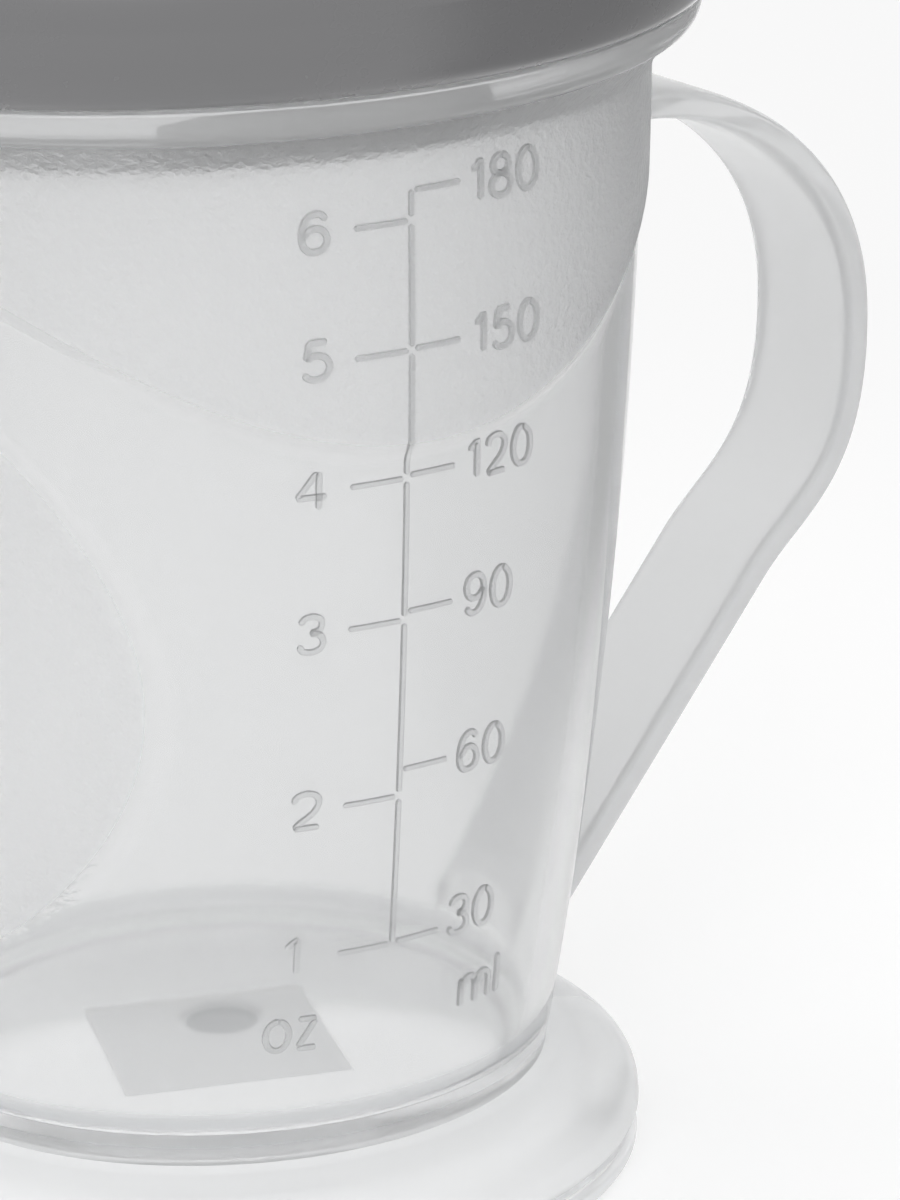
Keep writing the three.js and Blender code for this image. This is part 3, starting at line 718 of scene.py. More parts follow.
def mesh_from(name: str, points: Array, quads: Array, triangles: Array | None = None,
              slots: Array | None = None) -> bpy.types.Mesh:
    """Puts whole arrays into a mesh.

    Args:
        name: Name of the mesh.
        points: Vertex positions in metres.
        quads: Four indices for each quad.
        triangles: Three indices for each triangle, or None.
        slots: Material slot of each face, quads first, or None.

    Returns:
        The mesh, smooth shaded.
    """
    triangles = np.empty((0, 3), int) if triangles is None else triangles
    mesh = bpy.data.meshes.new(name)
    mesh.vertices.add(len(points))
    mesh.vertices.foreach_set("co", np.ascontiguousarray(points, dtype=np.float32).ravel())
    corners = np.concatenate([quads.ravel(), triangles.ravel()]).astype(np.int32)
    starts = np.concatenate([np.arange(len(quads)) * 4, len(quads) * 4 + np.arange(len(triangles)) * 3])
    mesh.loops.add(len(corners))
    mesh.loops.foreach_set("vertex_index", corners)
    mesh.polygons.add(len(starts))
    mesh.polygons.foreach_set("loop_start", starts.astype(np.int32))
    mesh.update(calc_edges=True)
    mesh.validate()
    if slots is not None:
        mesh.polygons.foreach_set("material_index", slots.astype(np.int32))
    mesh.shade_smooth()
    return mesh


def capped_tube(name: str, rings: Array, slots: Array | None = None) -> bpy.types.Mesh:
    """Closed skin over rings of points, with a fan from each end ring to its middle.

    Args:
        name: Name of the mesh.
        rings: Points in millimetres, as rows x columns x 3.
        slots: Material slot of each band of quads, or None.

    Returns:
        The mesh, which faces outwards if the rings turn anticlockwise seen from the last ring.
    """
    columns = rings.shape[1]
    points, quads, fans = closed_skin(rings)
    faces = None
    if slots is not None:
        faces = np.concatenate([np.repeat(slots, columns), np.full(columns, slots[0]),
                                np.full(columns, slots[-1])])
    return mesh_from(name, points * MM, quads, fans, faces)


def ring_tube(name: str, rings: Array) -> bpy.types.Mesh:
    """Closed skin over rings of points whose last ring joins the first, as on a gasket."""
    rows, columns = rings.shape[:2]
    quads = tube_faces(rows + 1, columns) % (rows * columns)
    return mesh_from(name, rings.reshape(-1, 3) * MM, quads)


def turned(radii: Array, heights: Array, azimuths: Array, centre: Sequence[float] = (0.0, 0.0, 0.0),
           axis: Axis = Axis.UP) -> Array:
    """Rings of a turned surface.

    A point at radius r, azimuth a and height h lies at (r sin a, -r cos a, h) for an upright axis,
    and the same form is laid over so that its heights run along +X for one that lies across.

    Args:
        radii: Radius for each ring, or for each ring and azimuth.
        heights: Height for each ring, or for each ring and azimuth.
        azimuths: The azimuths in radians.
        centre: Point on the axis, counted from the cup's axis, that heights start from.
        axis: Direction of the axis.

    Returns:
        Points in millimetres, as rings x azimuths x 3.
    """
    shape = (len(radii), len(azimuths))
    r = np.broadcast_to(radii if np.ndim(radii) == 2 else np.asarray(radii)[:, None], shape)
    h = np.broadcast_to(heights if np.ndim(heights) == 2 else np.asarray(heights)[:, None], shape)
    s, c = np.sin(azimuths)[None, :], -np.cos(azimuths)[None, :]
    local = (r * s, r * c, h) if axis is Axis.UP else (h, r * s, r * c)
    return np.stack(local, axis=-1) + np.asarray(centre) + np.array([CUP_AXIS_X, 0.0, 0.0])


def angles(count: int) -> Array:
    """Evenly spaced azimuths of a full turn, in radians."""
    return np.arange(count) * TURN / count


def oval(count: int, power: float) -> tuple[Array, Array]:
    """Signed powers of the cosine and the sine at evenly spaced angles.

    Args:
        count: Number of angles.
        power: The power; the smaller it is, the nearer the oval comes to a rectangle.

    Returns:
        The two rows of values, each between -1 and 1.
    """
    c, s = np.cos(angles(count)), np.sin(angles(count))
    return np.sign(c) * np.abs(c) ** power, np.sign(s) * np.abs(s) ** power


def face_outwards(mesh: bpy.types.Mesh) -> bpy.types.Mesh:
    """Turns every closed shell of a mesh so that its faces look outwards, and returns the mesh."""
    work = bmesh.new()
    work.from_mesh(mesh)
    bmesh.ops.recalc_face_normals(work, faces=work.faces)
    work.to_mesh(mesh)
    work.free()
    return mesh


def add_object(name: str, data: bpy.types.ID) -> bpy.types.Object:
    """Puts a mesh, a light or a camera into the scene as an object at the origin."""
    made = bpy.data.objects.new(name, data)
    bpy.context.scene.collection.objects.link(made)
    return made


def carve(target: bpy.types.Object, tools: Iterable[tuple[Carve, bpy.types.Mesh]]) -> None:
    """Adds closed meshes to an object or takes them away, in order, and keeps the result.

    Args:
        target: The object whose mesh changes.
        tools: Each tool's mesh and what it does.
    """
    helpers = []
    for n, (kind, mesh) in enumerate(tools):
        helper = add_object(f"{target.name}_tool_{n}", mesh)
        for slot in target.data.materials:
            if len(mesh.materials) < len(target.data.materials):
                mesh.materials.append(slot)
        step = target.modifiers.new(f"step_{n}", "BOOLEAN")
        step.operation = kind.value
        step.solver = "MANIFOLD"
        step.object = helper
        helpers.append(helper)
    evaluated = target.evaluated_get(bpy.context.evaluated_depsgraph_get())
    result = bpy.data.meshes.new_from_object(evaluated)
    target.modifiers.clear()
    target.data = result
    for helper in helpers:
        tool_mesh = helper.data
        bpy.data.objects.remove(helper)
        bpy.data.meshes.remove(tool_mesh)


def finish_piece(piece: bpy.types.Object, rider: Rider, crease_degrees: float = 38.0) -> None:
    """Sets smooth shading and joins a piece to its body.

    Args:
        piece: The finished object.
        rider: The body it moves with.
        crease_degrees: Edges that bend more than this stay sharp.
    """
    piece.data.shade_smooth()
    piece.data.set_sharp_from_angle(angle=math.radians(crease_degrees))
    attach(piece, rider.value)
    log.info("%s: %d faces, rides on %s", piece.name, len(piece.data.polygons), rider.value)


@dataclass(frozen=True)
class HandleRibbon:
    """The flat ribbon handle, carried along a path in the plane through the cup's axis."""

    width: float = 12.4
    thickness: float = 2.5
    edge_power: float = 5.0
    top_z: float = 76.0
    reach: float = 55.4
    belly_z: float = 57.1
    shoulder_x: float = 36.0
    shoulder_pull: float = 7.1
    belly_pull: float = 13.1
    bend_x: float = 45.7
    bend_z: float = 38.0
    bend_pull: float = 6.0
    root_x: float = 21.0
    root_z: float = 8.4
    lead: float = 3.6
    tail: float = 31.0
    width_gain_top: float = 0.4
    width_loss_root: float = 0.4
    around: int = 48
    curve_points: int = 60
    lead_points: int = 8
    tail_points: int = 45
    slide_rounds: int = 12
    slide_step_share: float = 0.8

    def path(self) -> Array:
        """Middle line as points (x, z): straight, two cubic curves and straight again.

        A cubic curve through control points A, B, C and D is
        (1-t)^3 A + 3t(1-t)^2 B + 3t^2(1-t) C + t^3 D.
        """
        down = np.array([self.bend_x - self.root_x, self.bend_z - self.root_z])
        down = down / np.linalg.norm(down)
        bend = np.array([self.bend_x, self.bend_z])
        controls = np.array([
            [[self.shoulder_x, self.top_z], [self.shoulder_x + self.shoulder_pull, self.top_z],
             [self.reach, self.belly_z + self.belly_pull], [self.reach, self.belly_z]],
            [[self.reach, self.belly_z], [self.reach, self.belly_z - self.belly_pull],
             bend + down * self.bend_pull, bend],
        ])
        t = np.linspace(0.0, 1.0, self.curve_points + 1)[1:, None]
        weights = ((1 - t) ** 3, 3 * t * (1 - t) ** 2, 3 * t ** 2 * (1 - t), t ** 3)
        curves = [sum(w * p for w, p in zip(weights, piece)) for piece in controls]
        lead = np.linspace([self.shoulder_x - self.lead, self.top_z], [self.shoulder_x, self.top_z],
                           self.lead_points)
        tail = np.linspace(bend, bend - down * self.tail, self.tail_points + 1)[1:]
        return np.vstack([lead, *curves, tail])

    def rings(self, wall_radius: Callable[[Array], Array], sink: float) -> Array:
        """Sections along the path, with both end sections laid inside the wall.

        A section is the curve (half thickness c, half width s), where c and s are the signed
        powers 2/p of the cosine and the sine, which is a rectangle with rounded edges. The end
        sections slide along the path's direction until their radius is the wall's less the sink.

        Args:
            wall_radius: Outer radius of the wall at a height.
            sink: How deep the ends go into the wall.

        Returns:
            Points in millimetres, as sections x around x 3.
        """
        line = self.path()
        step = np.gradient(line, axis=0)
        step /= np.linalg.norm(step, axis=1)[:, None]
        side = np.stack([-step[:, 1], step[:, 0]], axis=1)
        share = np.linspace(0.0, 1.0, len(line))
        half_width = self.width / 2 + self.width_gain_top / 2 * (1 - share) - self.width_loss_root / 2 * share
        c, s = oval(self.around, 2 / self.edge_power)
        across = c[None, :] * self.thickness / 2
        x = line[:, :1] + side[:, :1] * across
        z = line[:, 1:] + side[:, 1:] * across
        y = half_width[:, None] * s[None, :]
        for end in (0, -1):
            slide = np.zeros_like(c)
            for _ in range(self.slide_rounds):
                px, pz = x[end] + slide * step[end, 0], z[end] + slide * step[end, 1]
                wanted = np.sqrt(np.maximum((wall_radius(pz) - sink) ** 2 - y[end] ** 2, 0.0))
                slide += (wanted - px) / step[end, 0] * self.slide_step_share
            x[end], z[end] = x[end] + slide * step[end, 0], z[end] + slide * step[end, 1]
        return np.stack([x + CUP_AXIS_X, y, z], axis=-1)

    def mesh(self, wall_radius: Callable[[Array], Array], sink: float) -> bpy.types.Mesh:
        """Closed mesh of the ribbon."""
        return capped_tube("handle_ribbon", self.rings(wall_radius, sink)[:, ::-1])


class Pen(Enum):
    """How the points of a figure's stroke are joined."""

    LINE = "straight runs with slightly rounded corners"
    CURVE = "one smooth curve through the points"
    LOOP = "an oval, given by its middle and by its half width and half height"


@dataclass(frozen=True)
class Stroke:
    """One stroke of a figure, in shares of the figure's width and height from its lower left."""

    pen: Pen
    points: tuple[tuple[float, float], ...]

    def path(self) -> Array:
        """Middle line of the stroke.

        A loop's point at angle a is its middle plus (half width sin a, half height cos a), and a
        loop runs a little past its start so that both ends are buried.
        """
        if self.pen is Pen.LINE:
            return soften(self.points, 0.05, 3)
        if self.pen is Pen.CURVE:
            return flowing(np.array(self.points), 48)
        (x, y), (half_x, half_y) = self.points
        a = np.linspace(0.0, TURN * 1.04, 64)
        return np.stack([x + half_x * np.sin(a), y + half_y * np.cos(a)], axis=1)


@dataclass(frozen=True)
class Figure:
    """A figure or letter: its width as a share of a plain digit's, and its strokes."""

    width: float
    strokes: tuple[Stroke, ...]


OVAL = Stroke(Pen.LOOP, ((0.5, 0.5), (0.5, 0.5)))
SIX = ((0.93, 0.8), (0.8, 0.95), (0.52, 1.0), (0.2, 0.86), (0.04, 0.5), (0.1, 0.18), (0.3, 0.03),
       (0.54, 0.0), (0.84, 0.08), (0.97, 0.3), (0.84, 0.53), (0.55, 0.62), (0.25, 0.54), (0.07, 0.36))
NINE = tuple((1.0 - x, 1.0 - y) for x, y in SIX)
FIGURES: dict[str, Figure] = {
    "0": Figure(1.0, (OVAL,)),
    "1": Figure(0.5, (Stroke(Pen.LINE, ((0.0, 0.74), (0.8, 1.0), (0.8, 0.0))),)),
    "2": Figure(1.0, (
        Stroke(Pen.CURVE, ((0.03, 0.72), (0.14, 0.92), (0.5, 1.0), (0.86, 0.9), (0.94, 0.68), (0.74, 0.42),
                           (0.32, 0.18), (0.04, 0.0))),
        Stroke(Pen.LINE, ((0.04, 0.0), (1.0, 0.0))))),
    "3": Figure(1.0, (
        Stroke(Pen.CURVE, ((0.05, 0.78), (0.2, 0.95), (0.5, 1.0), (0.82, 0.93), (0.9, 0.76), (0.78, 0.6),
                           (0.42, 0.54))),
        Stroke(Pen.CURVE, ((0.42, 0.54), (0.8, 0.48), (0.97, 0.27), (0.82, 0.07), (0.48, 0.0), (0.15, 0.06),
                           (0.0, 0.24))))),
    "4": Figure(1.0, (
        Stroke(Pen.LINE, ((0.76, -0.04), (0.76, 1.0))),
        Stroke(Pen.LINE, ((0.7, 1.0), (0.0, 0.32), (1.06, 0.32))))),
    "5": Figure(1.0, (
        Stroke(Pen.LINE, ((0.9, 1.0), (0.22, 1.0), (0.1, 0.5))),
        Stroke(Pen.CURVE, ((0.1, 0.5), (0.3, 0.61), (0.56, 0.64), (0.86, 0.54), (0.98, 0.32), (0.85, 0.1),
                           (0.5, 0.0), (0.15, 0.06), (0.02, 0.2))))),
    "6": Figure(1.0, (Stroke(Pen.CURVE, SIX),)),
    "8": Figure(1.0, (
        Stroke(Pen.LOOP, ((0.5, 0.77), (0.42, 0.23))),
        Stroke(Pen.LOOP, ((0.5, 0.27), (0.5, 0.27))))),
    "9": Figure(1.0, (Stroke(Pen.CURVE, NINE),)),
    "m": Figure(1.45, (
        Stroke(Pen.LINE, ((0.0, 0.0), (0.0, 0.72))),
        Stroke(Pen.CURVE, ((0.0, 0.46), (0.1, 0.64), (0.28, 0.71), (0.45, 0.63), (0.5, 0.44), (0.5, 0.0))),
        Stroke(Pen.CURVE, ((0.5, 0.46), (0.6, 0.64), (0.78, 0.71), (0.95, 0.63), (1.0, 0.44), (1.0, 0.0))))),
    "l": Figure(0.1, (Stroke(Pen.LINE, ((0.5, 0.0), (0.5, 1.0))),)),
    "o": Figure(1.1, (OVAL,)),
    "z": Figure(0.9, (
        Stroke(Pen.LINE, ((0.0, 1.0), (1.0, 1.0))),
        Stroke(Pen.LINE, ((0.96, 0.96), (0.04, 0.04))),
        Stroke(Pen.LINE, ((0.0, 0.0), (1.04, 0.0))))),
}


@dataclass(frozen=True)
class ScaleMark:
    """One mark of the scale: its figures, its span of azimuth, its height and its size."""

    text: str
    from_degrees: float
    to_degrees: float
    middle_z: float
    tall: float


@dataclass(frozen=True)
class CupMoulding(CupForm):
    """The translucent cup: foot, wall, collar and neck in one skin, with the handle joined on."""

    wall: float = 1.8
    step_height: float = 1.9
    proud: float = 0.6
    foot_radius: float = 31.2
    foot_widest_z: float = 3.8
    foot_dome: float = 4.5
    foot_under: float = 2.2
    foot_power: float = 0.83
    foot_start_share: float = -0.32
    lip_radius: float = 31.0
    rim_radii: tuple[float, float] = (28.5, 30.3)
    wall_margins: tuple[float, float] = (0.5, 0.6)
    wall_row_counts: tuple[int, int, int] = (44, 9, 18)
    collar_radius: float = 37.4
    collar_top_z: float = 88.9
    collar_rounding: float = 2.2
    collar_edge: float = 0.45
    crease_radius: float = 35.5
    crease_z: float = 86.2
    mouth_radius: float = 31.5
    neck_radius: float = 33.6
    neck_top_z: float = 97.2
    thread_depth: float = 1.6
    thread_width: float = 1.7
    thread_pitch: float = 4.0
    thread_turns: float = 1.2
    thread_from_z: float = 90.7
    thread_points: int = 220
    thread_fades: float = 14.0
    thread_tip_depth_share: float = 0.05
    thread_tip_width_share: float = 0.4
    thread_sink: float = 0.5
    mouth_blend_below: float = 4.0
    mouth_blend_height: float = 7.0
    floor_z: float = 10.6
    floor_thickness: float = 2.0
    floor_corner: float = 1.2
    gate_radius: float = 2.75
    gate_depth: float = 0.5
    around: int = 288
    line_degrees: float = -3.4
    line_width: float = 0.48
    line_gap: float = 0.24
    line_ends: tuple[float, float] = (24.9, 81.6)
    tick_lengths: tuple[float, float] = (3.75, 4.05)
    figure_pen: float = 0.54
    figure_gap: float = 0.42
    mark_proud: float = 0.19
    mark_edge_share: float = 0.32
    mark_sunk: float = 0.05
    mark_tip_share: float = 0.12
    mark_spacing: float = 0.16
    mark_least_sections: int = 12
    mark_section_points: int = 13
    handle: HandleRibbon = field(default_factory=HandleRibbon)
    ounce_ticks: tuple[float, ...] = (25.1, 36.7, 50.1, 60.6, 70.0, 79.2)
    millilitre_ticks: tuple[float, ...] = (25.2, 38.7, 50.7, 60.8, 70.1, 81.3)
    figures: tuple[ScaleMark, ...] = (
        ScaleMark("180", 4.6, 15.6, 81.1, 3.4),
        ScaleMark("150", 5.2, 16.2, 70.2, 3.3),
        ScaleMark("120", 5.4, 17.0, 60.9, 3.3),
        ScaleMark("90", 5.6, 14.4, 50.8, 3.4),
        ScaleMark("60", 5.8, 15.0, 38.8, 3.4),
        ScaleMark("30", 6.2, 16.0, 25.9, 3.4),
        ScaleMark("ml", 10.0, 19.6, 19.8, 3.8),
        ScaleMark("6", -17.6, -13.4, 79.2, 3.2),
        ScaleMark("5", -17.6, -13.4, 70.2, 3.2),
        ScaleMark("4", -18.4, -13.8, 60.7, 3.2),
        ScaleMark("3", -18.5, -14.1, 50.1, 3.2),
        ScaleMark("2", -19.6, -14.6, 36.7, 3.2),
        ScaleMark("1", -20.9, -17.5, 25.3, 3.3),
        ScaleMark("oz", -24.0, -14.8, 19.0, 2.9),
    )

    def skin_radius(self, azimuth: Array, z: Array) -> Array:
        """Outer radius of the wall with its proud upper zone, which starts in a smooth step."""
        above = (z - self.wave_z(azimuth)) / self.step_height + 0.5
        return self.wall_radius(z) + self.proud * smooth_step(above)

    def underside(self) -> Array:
        """Profile (radius, z) from the middle of the floor's underside to the foot's lip."""
        under_z = self.floor_z - self.floor_thickness
        reach = self.foot_wall_radius - self.wall
        lip, (inner, outer) = self.lip_radius, self.rim_radii
        corners = [(0.0, under_z), (reach - 0.6, under_z), (reach + 0.9, 6.2), (26.6, 5.9),
                   (inner - 0.9, 5.0), (inner, 3.2), (inner, 0.0), (outer, 0.0), (lip, 0.7), (lip, 1.5),
                   (lip - 0.45, 2.0), (lip - 0.25, 2.3)]
        return soften(corners, [1.6, 1.2, 1.2, 0.9, 0.9, 0.4, 0.5, 0.4, 0.3, 0.25], 5)

    def dome(self) -> Array:
        """Profile of the foot's dome: part of a superellipse, from under its widest place to the wall."""
        t = np.linspace(self.foot_start_share, 1.0, 34)[:-1] * math.pi / 2
        reach = self.foot_radius - self.foot_wall_radius
        c = np.cos(t) ** self.foot_power
        s = np.sign(t) * np.abs(np.sin(t)) ** self.foot_power
        tall = np.where(s < 0, self.foot_under, self.foot_dome)
        return np.stack([self.foot_radius - reach * (1 - c), self.foot_widest_z + tall * s], axis=1)

    def wall_rows(self, azimuth: Array) -> tuple[Array, Array]:
        """Rows of the wall, which lean towards the wavy line so that its step stays crisp.

        Args:
            azimuth: The azimuths in radians.

        Returns:
            Radius and height, each as rows x azimuths.
        """
        half = self.step_height / 2
        wave = self.wave_z(azimuth)[None, :]
        foot_margin, top_margin = self.wall_margins
        below, within, above = self.wall_row_counts
        low = np.linspace(0.0, 1.0, below)[:, None]
        low_z = self.foot_z + foot_margin + (wave - half - self.foot_z - foot_margin) * low
        step_z = wave + np.linspace(-half, half, within)[1:-1, None]
        high = np.linspace(0.0, 1.0, above)[:, None]
        high_z = wave + half + (self.top_z - top_margin - wave - half) * high
        z = np.vstack([low_z, step_z, high_z])
        return self.skin_radius(azimuth[None, :], z), z

    def collar(self) -> Array:
        """Profile from the wall's top out over the collar, up the neck and over its rim."""
        proud_radius = self.top_radius + self.proud
        t = np.linspace(0.0, 1.0, 12)[1:] * math.pi / 2
        lip = np.stack([self.crease_radius + (self.collar_radius - self.crease_radius) * np.sin(t),
                        self.crease_z + self.collar_rounding * (1 - np.cos(t))], axis=1)
        flare = soften([(proud_radius, self.top_z), (proud_radius + 0.25, self.top_z + 0.9),
                        (self.crease_radius - 0.25, self.crease_z - 0.3),
                        (self.crease_radius, self.crease_z)], [1.0, 0.25], 6)
        edge_z = self.collar_top_z - self.collar_edge
        rest = soften([(self.collar_radius, edge_z), (self.collar_radius, self.collar_top_z),
                       (self.neck_radius, self.collar_top_z), (self.neck_radius, self.neck_top_z),
                       (self.mouth_radius, self.neck_top_z), (self.mouth_radius, self.crease_z + 1.0)],
                      [0.3, 0.5, 0.45, 0.45], 4)
        return np.vstack([flare, lip, rest])

    def inside(self) -> Array:
        """Profile down the inner wall to the floor, the gate mark and the middle."""
        z = np.linspace(self.crease_z, self.floor_z + self.floor_corner + 0.4, 26)
        blend = smooth_step((z - self.top_z + self.mouth_blend_below) / self.mouth_blend_height)
        radius = (self.wall_radius(z) - self.wall) * (1 - blend) + self.mouth_radius * blend
        turn = self.floor_corner
        corner = self.wall_radius(self.floor_z + turn) - self.wall
        t = np.linspace(0.0, 1.0, 9) * math.pi / 2
        fillet = np.stack([corner - turn * (1 - np.cos(t)), self.floor_z + turn * (1 - np.sin(t))], axis=1)
        gate, floor_z = self.gate_radius, self.floor_z
        floor = soften([(corner - turn - 0.2, floor_z), (gate + 0.5, floor_z + 0.06), (gate, floor_z - 0.15),
                        (gate - 0.5, floor_z - self.gate_depth), (1.0, floor_z - 0.42), (0.0, floor_z - 0.3)],
                       [0.5, 0.25, 0.4, 0.4], 4)
        return np.vstack([np.stack([radius, z], axis=1), fillet, floor])

    def shell(self) -> bpy.types.Mesh:
        """Closed skin of the cup without its handle; the inner faces use the second slot."""
        a = angles(self.around)
        wall_r, wall_z = self.wall_rows(a)
        lower = np.vstack([self.underside()[1:], self.dome()])
        upper = self.collar()
        inner = self.inside()[:-1]

        def spread(values: Array) -> Array:
            """Repeats a row's value at every angle."""
            return np.repeat(values[:, None], len(a), axis=1)

        radii = np.vstack([spread(lower[:, 0]), wall_r, spread(upper[:, 0]), spread(inner[:, 0])])
        heights = np.vstack([spread(lower[:, 1]), wall_z, spread(upper[:, 1]), spread(inner[:, 1])])
        outer_bands = len(lower) + len(wall_r) + len(upper) - 1
        slots = np.concatenate([np.zeros(outer_bands, int), np.ones(len(radii) - 1 - outer_bands, int)])
        return capped_tube("cup_skin", turned(radii, heights, a), slots)

    def thread(self, root: float, crest: float, from_z: float, name: str) -> bpy.types.Mesh:
        """Helical ridge with tapered ends.

        The section is carried along a helix: the azimuth grows evenly, the height by one pitch a
        turn, and the ridge's depth is scaled by a smooth step at both ends.

        Args:
            root: Radius of the wall that it stands on.
            crest: Radius of the ridge's top.
            from_z: Height where it starts.
            name: Name of the mesh.

        Returns:
            The closed mesh.
        """
        share = np.linspace(0.0, 1.0, self.thread_points)[:, None]
        a = share * self.thread_turns * TURN
        z = from_z + share * self.thread_turns * self.thread_pitch
        tip = self.thread_tip_depth_share
        fades = smooth_step(share * self.thread_fades) * smooth_step((1 - share) * self.thread_fades)
        ends = fades * (1 - tip) + tip
        sink = math.copysign(self.thread_sink, root - crest)
        w = self.thread_width
        section = soften([(0.0, -w / 2), (1.0, -w / 4), (1.0, w / 4), (0.0, w / 2)], 0.35, 4)
        section = np.vstack([section, [[-0.3, w / 2], [-0.3, -w / 2]]])
        depth = np.where(section[:, 0] < 0, 0.0, section[:, 0])[None, :] * (crest - root) * ends
        radius = root + depth + np.where(section[:, 0] < 0, sink, 0.0)[None, :]
        narrow = self.thread_tip_width_share
        height = z + section[:, 1][None, :] * (narrow + (1 - narrow) * ends)
        points = np.stack([radius * np.cos(a) + CUP_AXIS_X, radius * np.sin(a), height], axis=-1)
        return capped_tube(name, points[:, ::-1] if crest > root else points)

    def ridge(self, path: Array, pen: float) -> Array:
        """Raised stroke on the wall, with round ends.

        The section is as wide as the pen and has a flat top, which a smooth step joins to the
        skin on both sides, and a flat back just under the skin. It is scaled by the square root of
        1 - (1 - e)^2, where e is the distance from the nearer end over half the pen, at most 1, and
        never below the tip's share.

        Args:
            path: Middle line as (distance round the wall from the upright line, height) in
                millimetres.
            pen: Width of the stroke.

        Returns:
            Points as sections x around x 3.
        """
        length = np.concatenate([[0.0], np.cumsum(np.hypot(*np.diff(path, axis=0).T))])
        sections = max(self.mark_least_sections, int(length[-1] / self.mark_spacing))
        s = np.linspace(0.0, length[-1], sections)
        line = np.stack([np.interp(s, length, path[:, 0]), np.interp(s, length, path[:, 1])], axis=1)
        step = np.gradient(line, axis=0)
        step /= np.linalg.norm(step, axis=1)[:, None]
        ends = np.clip(np.minimum(s, length[-1] - s) / (pen / 2), 0.0, 1.0)
        scale = self.mark_tip_share + (1 - self.mark_tip_share) * np.sqrt(1 - (1 - ends[:, None]) ** 2)
        phase = np.linspace(0.0, math.pi, self.mark_section_points)
        across = np.concatenate([np.cos(phase), [-1.0, 0.0, 1.0]])[None, :] * pen / 2 * scale
        rise = smooth_step((1 - np.abs(np.cos(phase))) / self.mark_edge_share)
        raised = np.concatenate([rise * self.mark_proud, np.full(3, -self.mark_sunk)])
        arc = line[:, :1] - step[:, 1:] * across
        z = line[:, 1:] + step[:, :1] * across
        skin = self.skin_radius(np.radians(self.line_degrees), z)
        azimuth = np.radians(self.line_degrees) + arc / skin
        radius = self.skin_radius(azimuth, z) + raised[None, :] * np.where(raised > 0, scale, 1.0)
        return np.stack([radius * np.sin(azimuth) + CUP_AXIS_X, -radius * np.cos(azimuth), z], axis=-1)

    def raised_marks(self, name: str, paths: Iterable[Array], pen: float,
                     material: bpy.types.Material) -> bpy.types.Object:
        """Joins strokes on the wall into one piece.

        Args:
            name: Name of the piece.
            paths: The strokes' middle lines.
            pen: Width of the strokes.
            material: Finish of the piece.

        Returns:
            The piece.
        """
        parts, first = [], 0
        for path in paths:
            parts.append(closed_skin(self.ridge(path, pen), first))
            first += len(parts[-1][0])
        points, quads, fans = (np.vstack(group) for group in zip(*parts))
        mesh = face_outwards(mesh_from(name, points * MM, quads, fans))
        mesh.materials.append(material)
        return add_object(name, mesh)

    def line_paths(self) -> list[Array]:
        """The upright line, broken at the ounce marks, and the ticks on both sides of it."""
        levels = [self.line_ends[0], *self.ounce_ticks[1:], self.line_ends[1]]
        gap, (short, long) = self.line_gap, self.tick_lengths
        paths = [np.array([[0.0, low + gap], [0.0, high - gap]]) for low, high in zip(levels, levels[1:])]
        paths += [np.array([[gap, z], [gap + short, z]]) for z in self.millilitre_ticks]
        paths += [np.array([[-gap, z], [-gap - long, z]]) for z in self.ounce_ticks]
        return paths

    def figure_paths(self, mark: ScaleMark) -> list[Array]:
        """Middle lines of a mark's figures, which share its span by their widths.

        Args:
            mark: The mark.

        Returns:
            One path for each stroke, as (distance from the upright line, height).
        """
        radius = float(self.skin_radius(np.radians(self.line_degrees), mark.middle_z))
        low, high = (math.radians(end - self.line_degrees) * radius
                     for end in (mark.from_degrees, mark.to_degrees))
        low, high = low + self.figure_pen / 2, high - self.figure_pen / 2
        widths = np.array([FIGURES[letter].width for letter in mark.text])
        gaps = self.figure_gap * np.arange(len(widths))
        unit = (high - low) / (widths.sum() + gaps[-1])
        starts = low + unit * (np.cumsum(widths) - widths + gaps)
        tall = mark.tall - self.figure_pen
        paths = []
        for letter, start, width in zip(mark.text, starts, widths):
            for stroke in FIGURES[letter].strokes:
                across, up = stroke.path().T
                paths.append(np.stack([start + across * width * unit,
                                       mark.middle_z + (up - 0.5) * tall], axis=1))
        return paths

    def build(self) -> list[bpy.types.Object]:
        """Builds the cup, its handle and its scale, and dresses them.

        Returns:
            The finished pieces.
        """
        skin, inner = ClearMoulding().material(), ClearInside().material()
        shell = add_object("cup_moulding", self.shell())
        shell.data.materials.append(skin)
        shell.data.materials.append(inner)
        crest = self.neck_radius + self.thread_depth
        carve(shell, [
            (Carve.ADD, self.handle.mesh(self.wall_radius, self.wall / 2)),
            (Carve.ADD, self.thread(self.neck_radius, crest, self.thread_from_z, "neck_thread")),
        ])
        lines = self.raised_marks("scale_lines", self.line_paths(), self.line_width, skin)
        figure_paths = [path for mark in self.figures for path in self.figure_paths(mark)]
        figures = self.raised_marks("scale_figures", figure_paths, self.figure_pen, skin)
        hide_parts("cup_body")
        for piece in (shell, lines, figures):
            finish_piece(piece, Rider.CUP)
        return [shell, lines, figures]


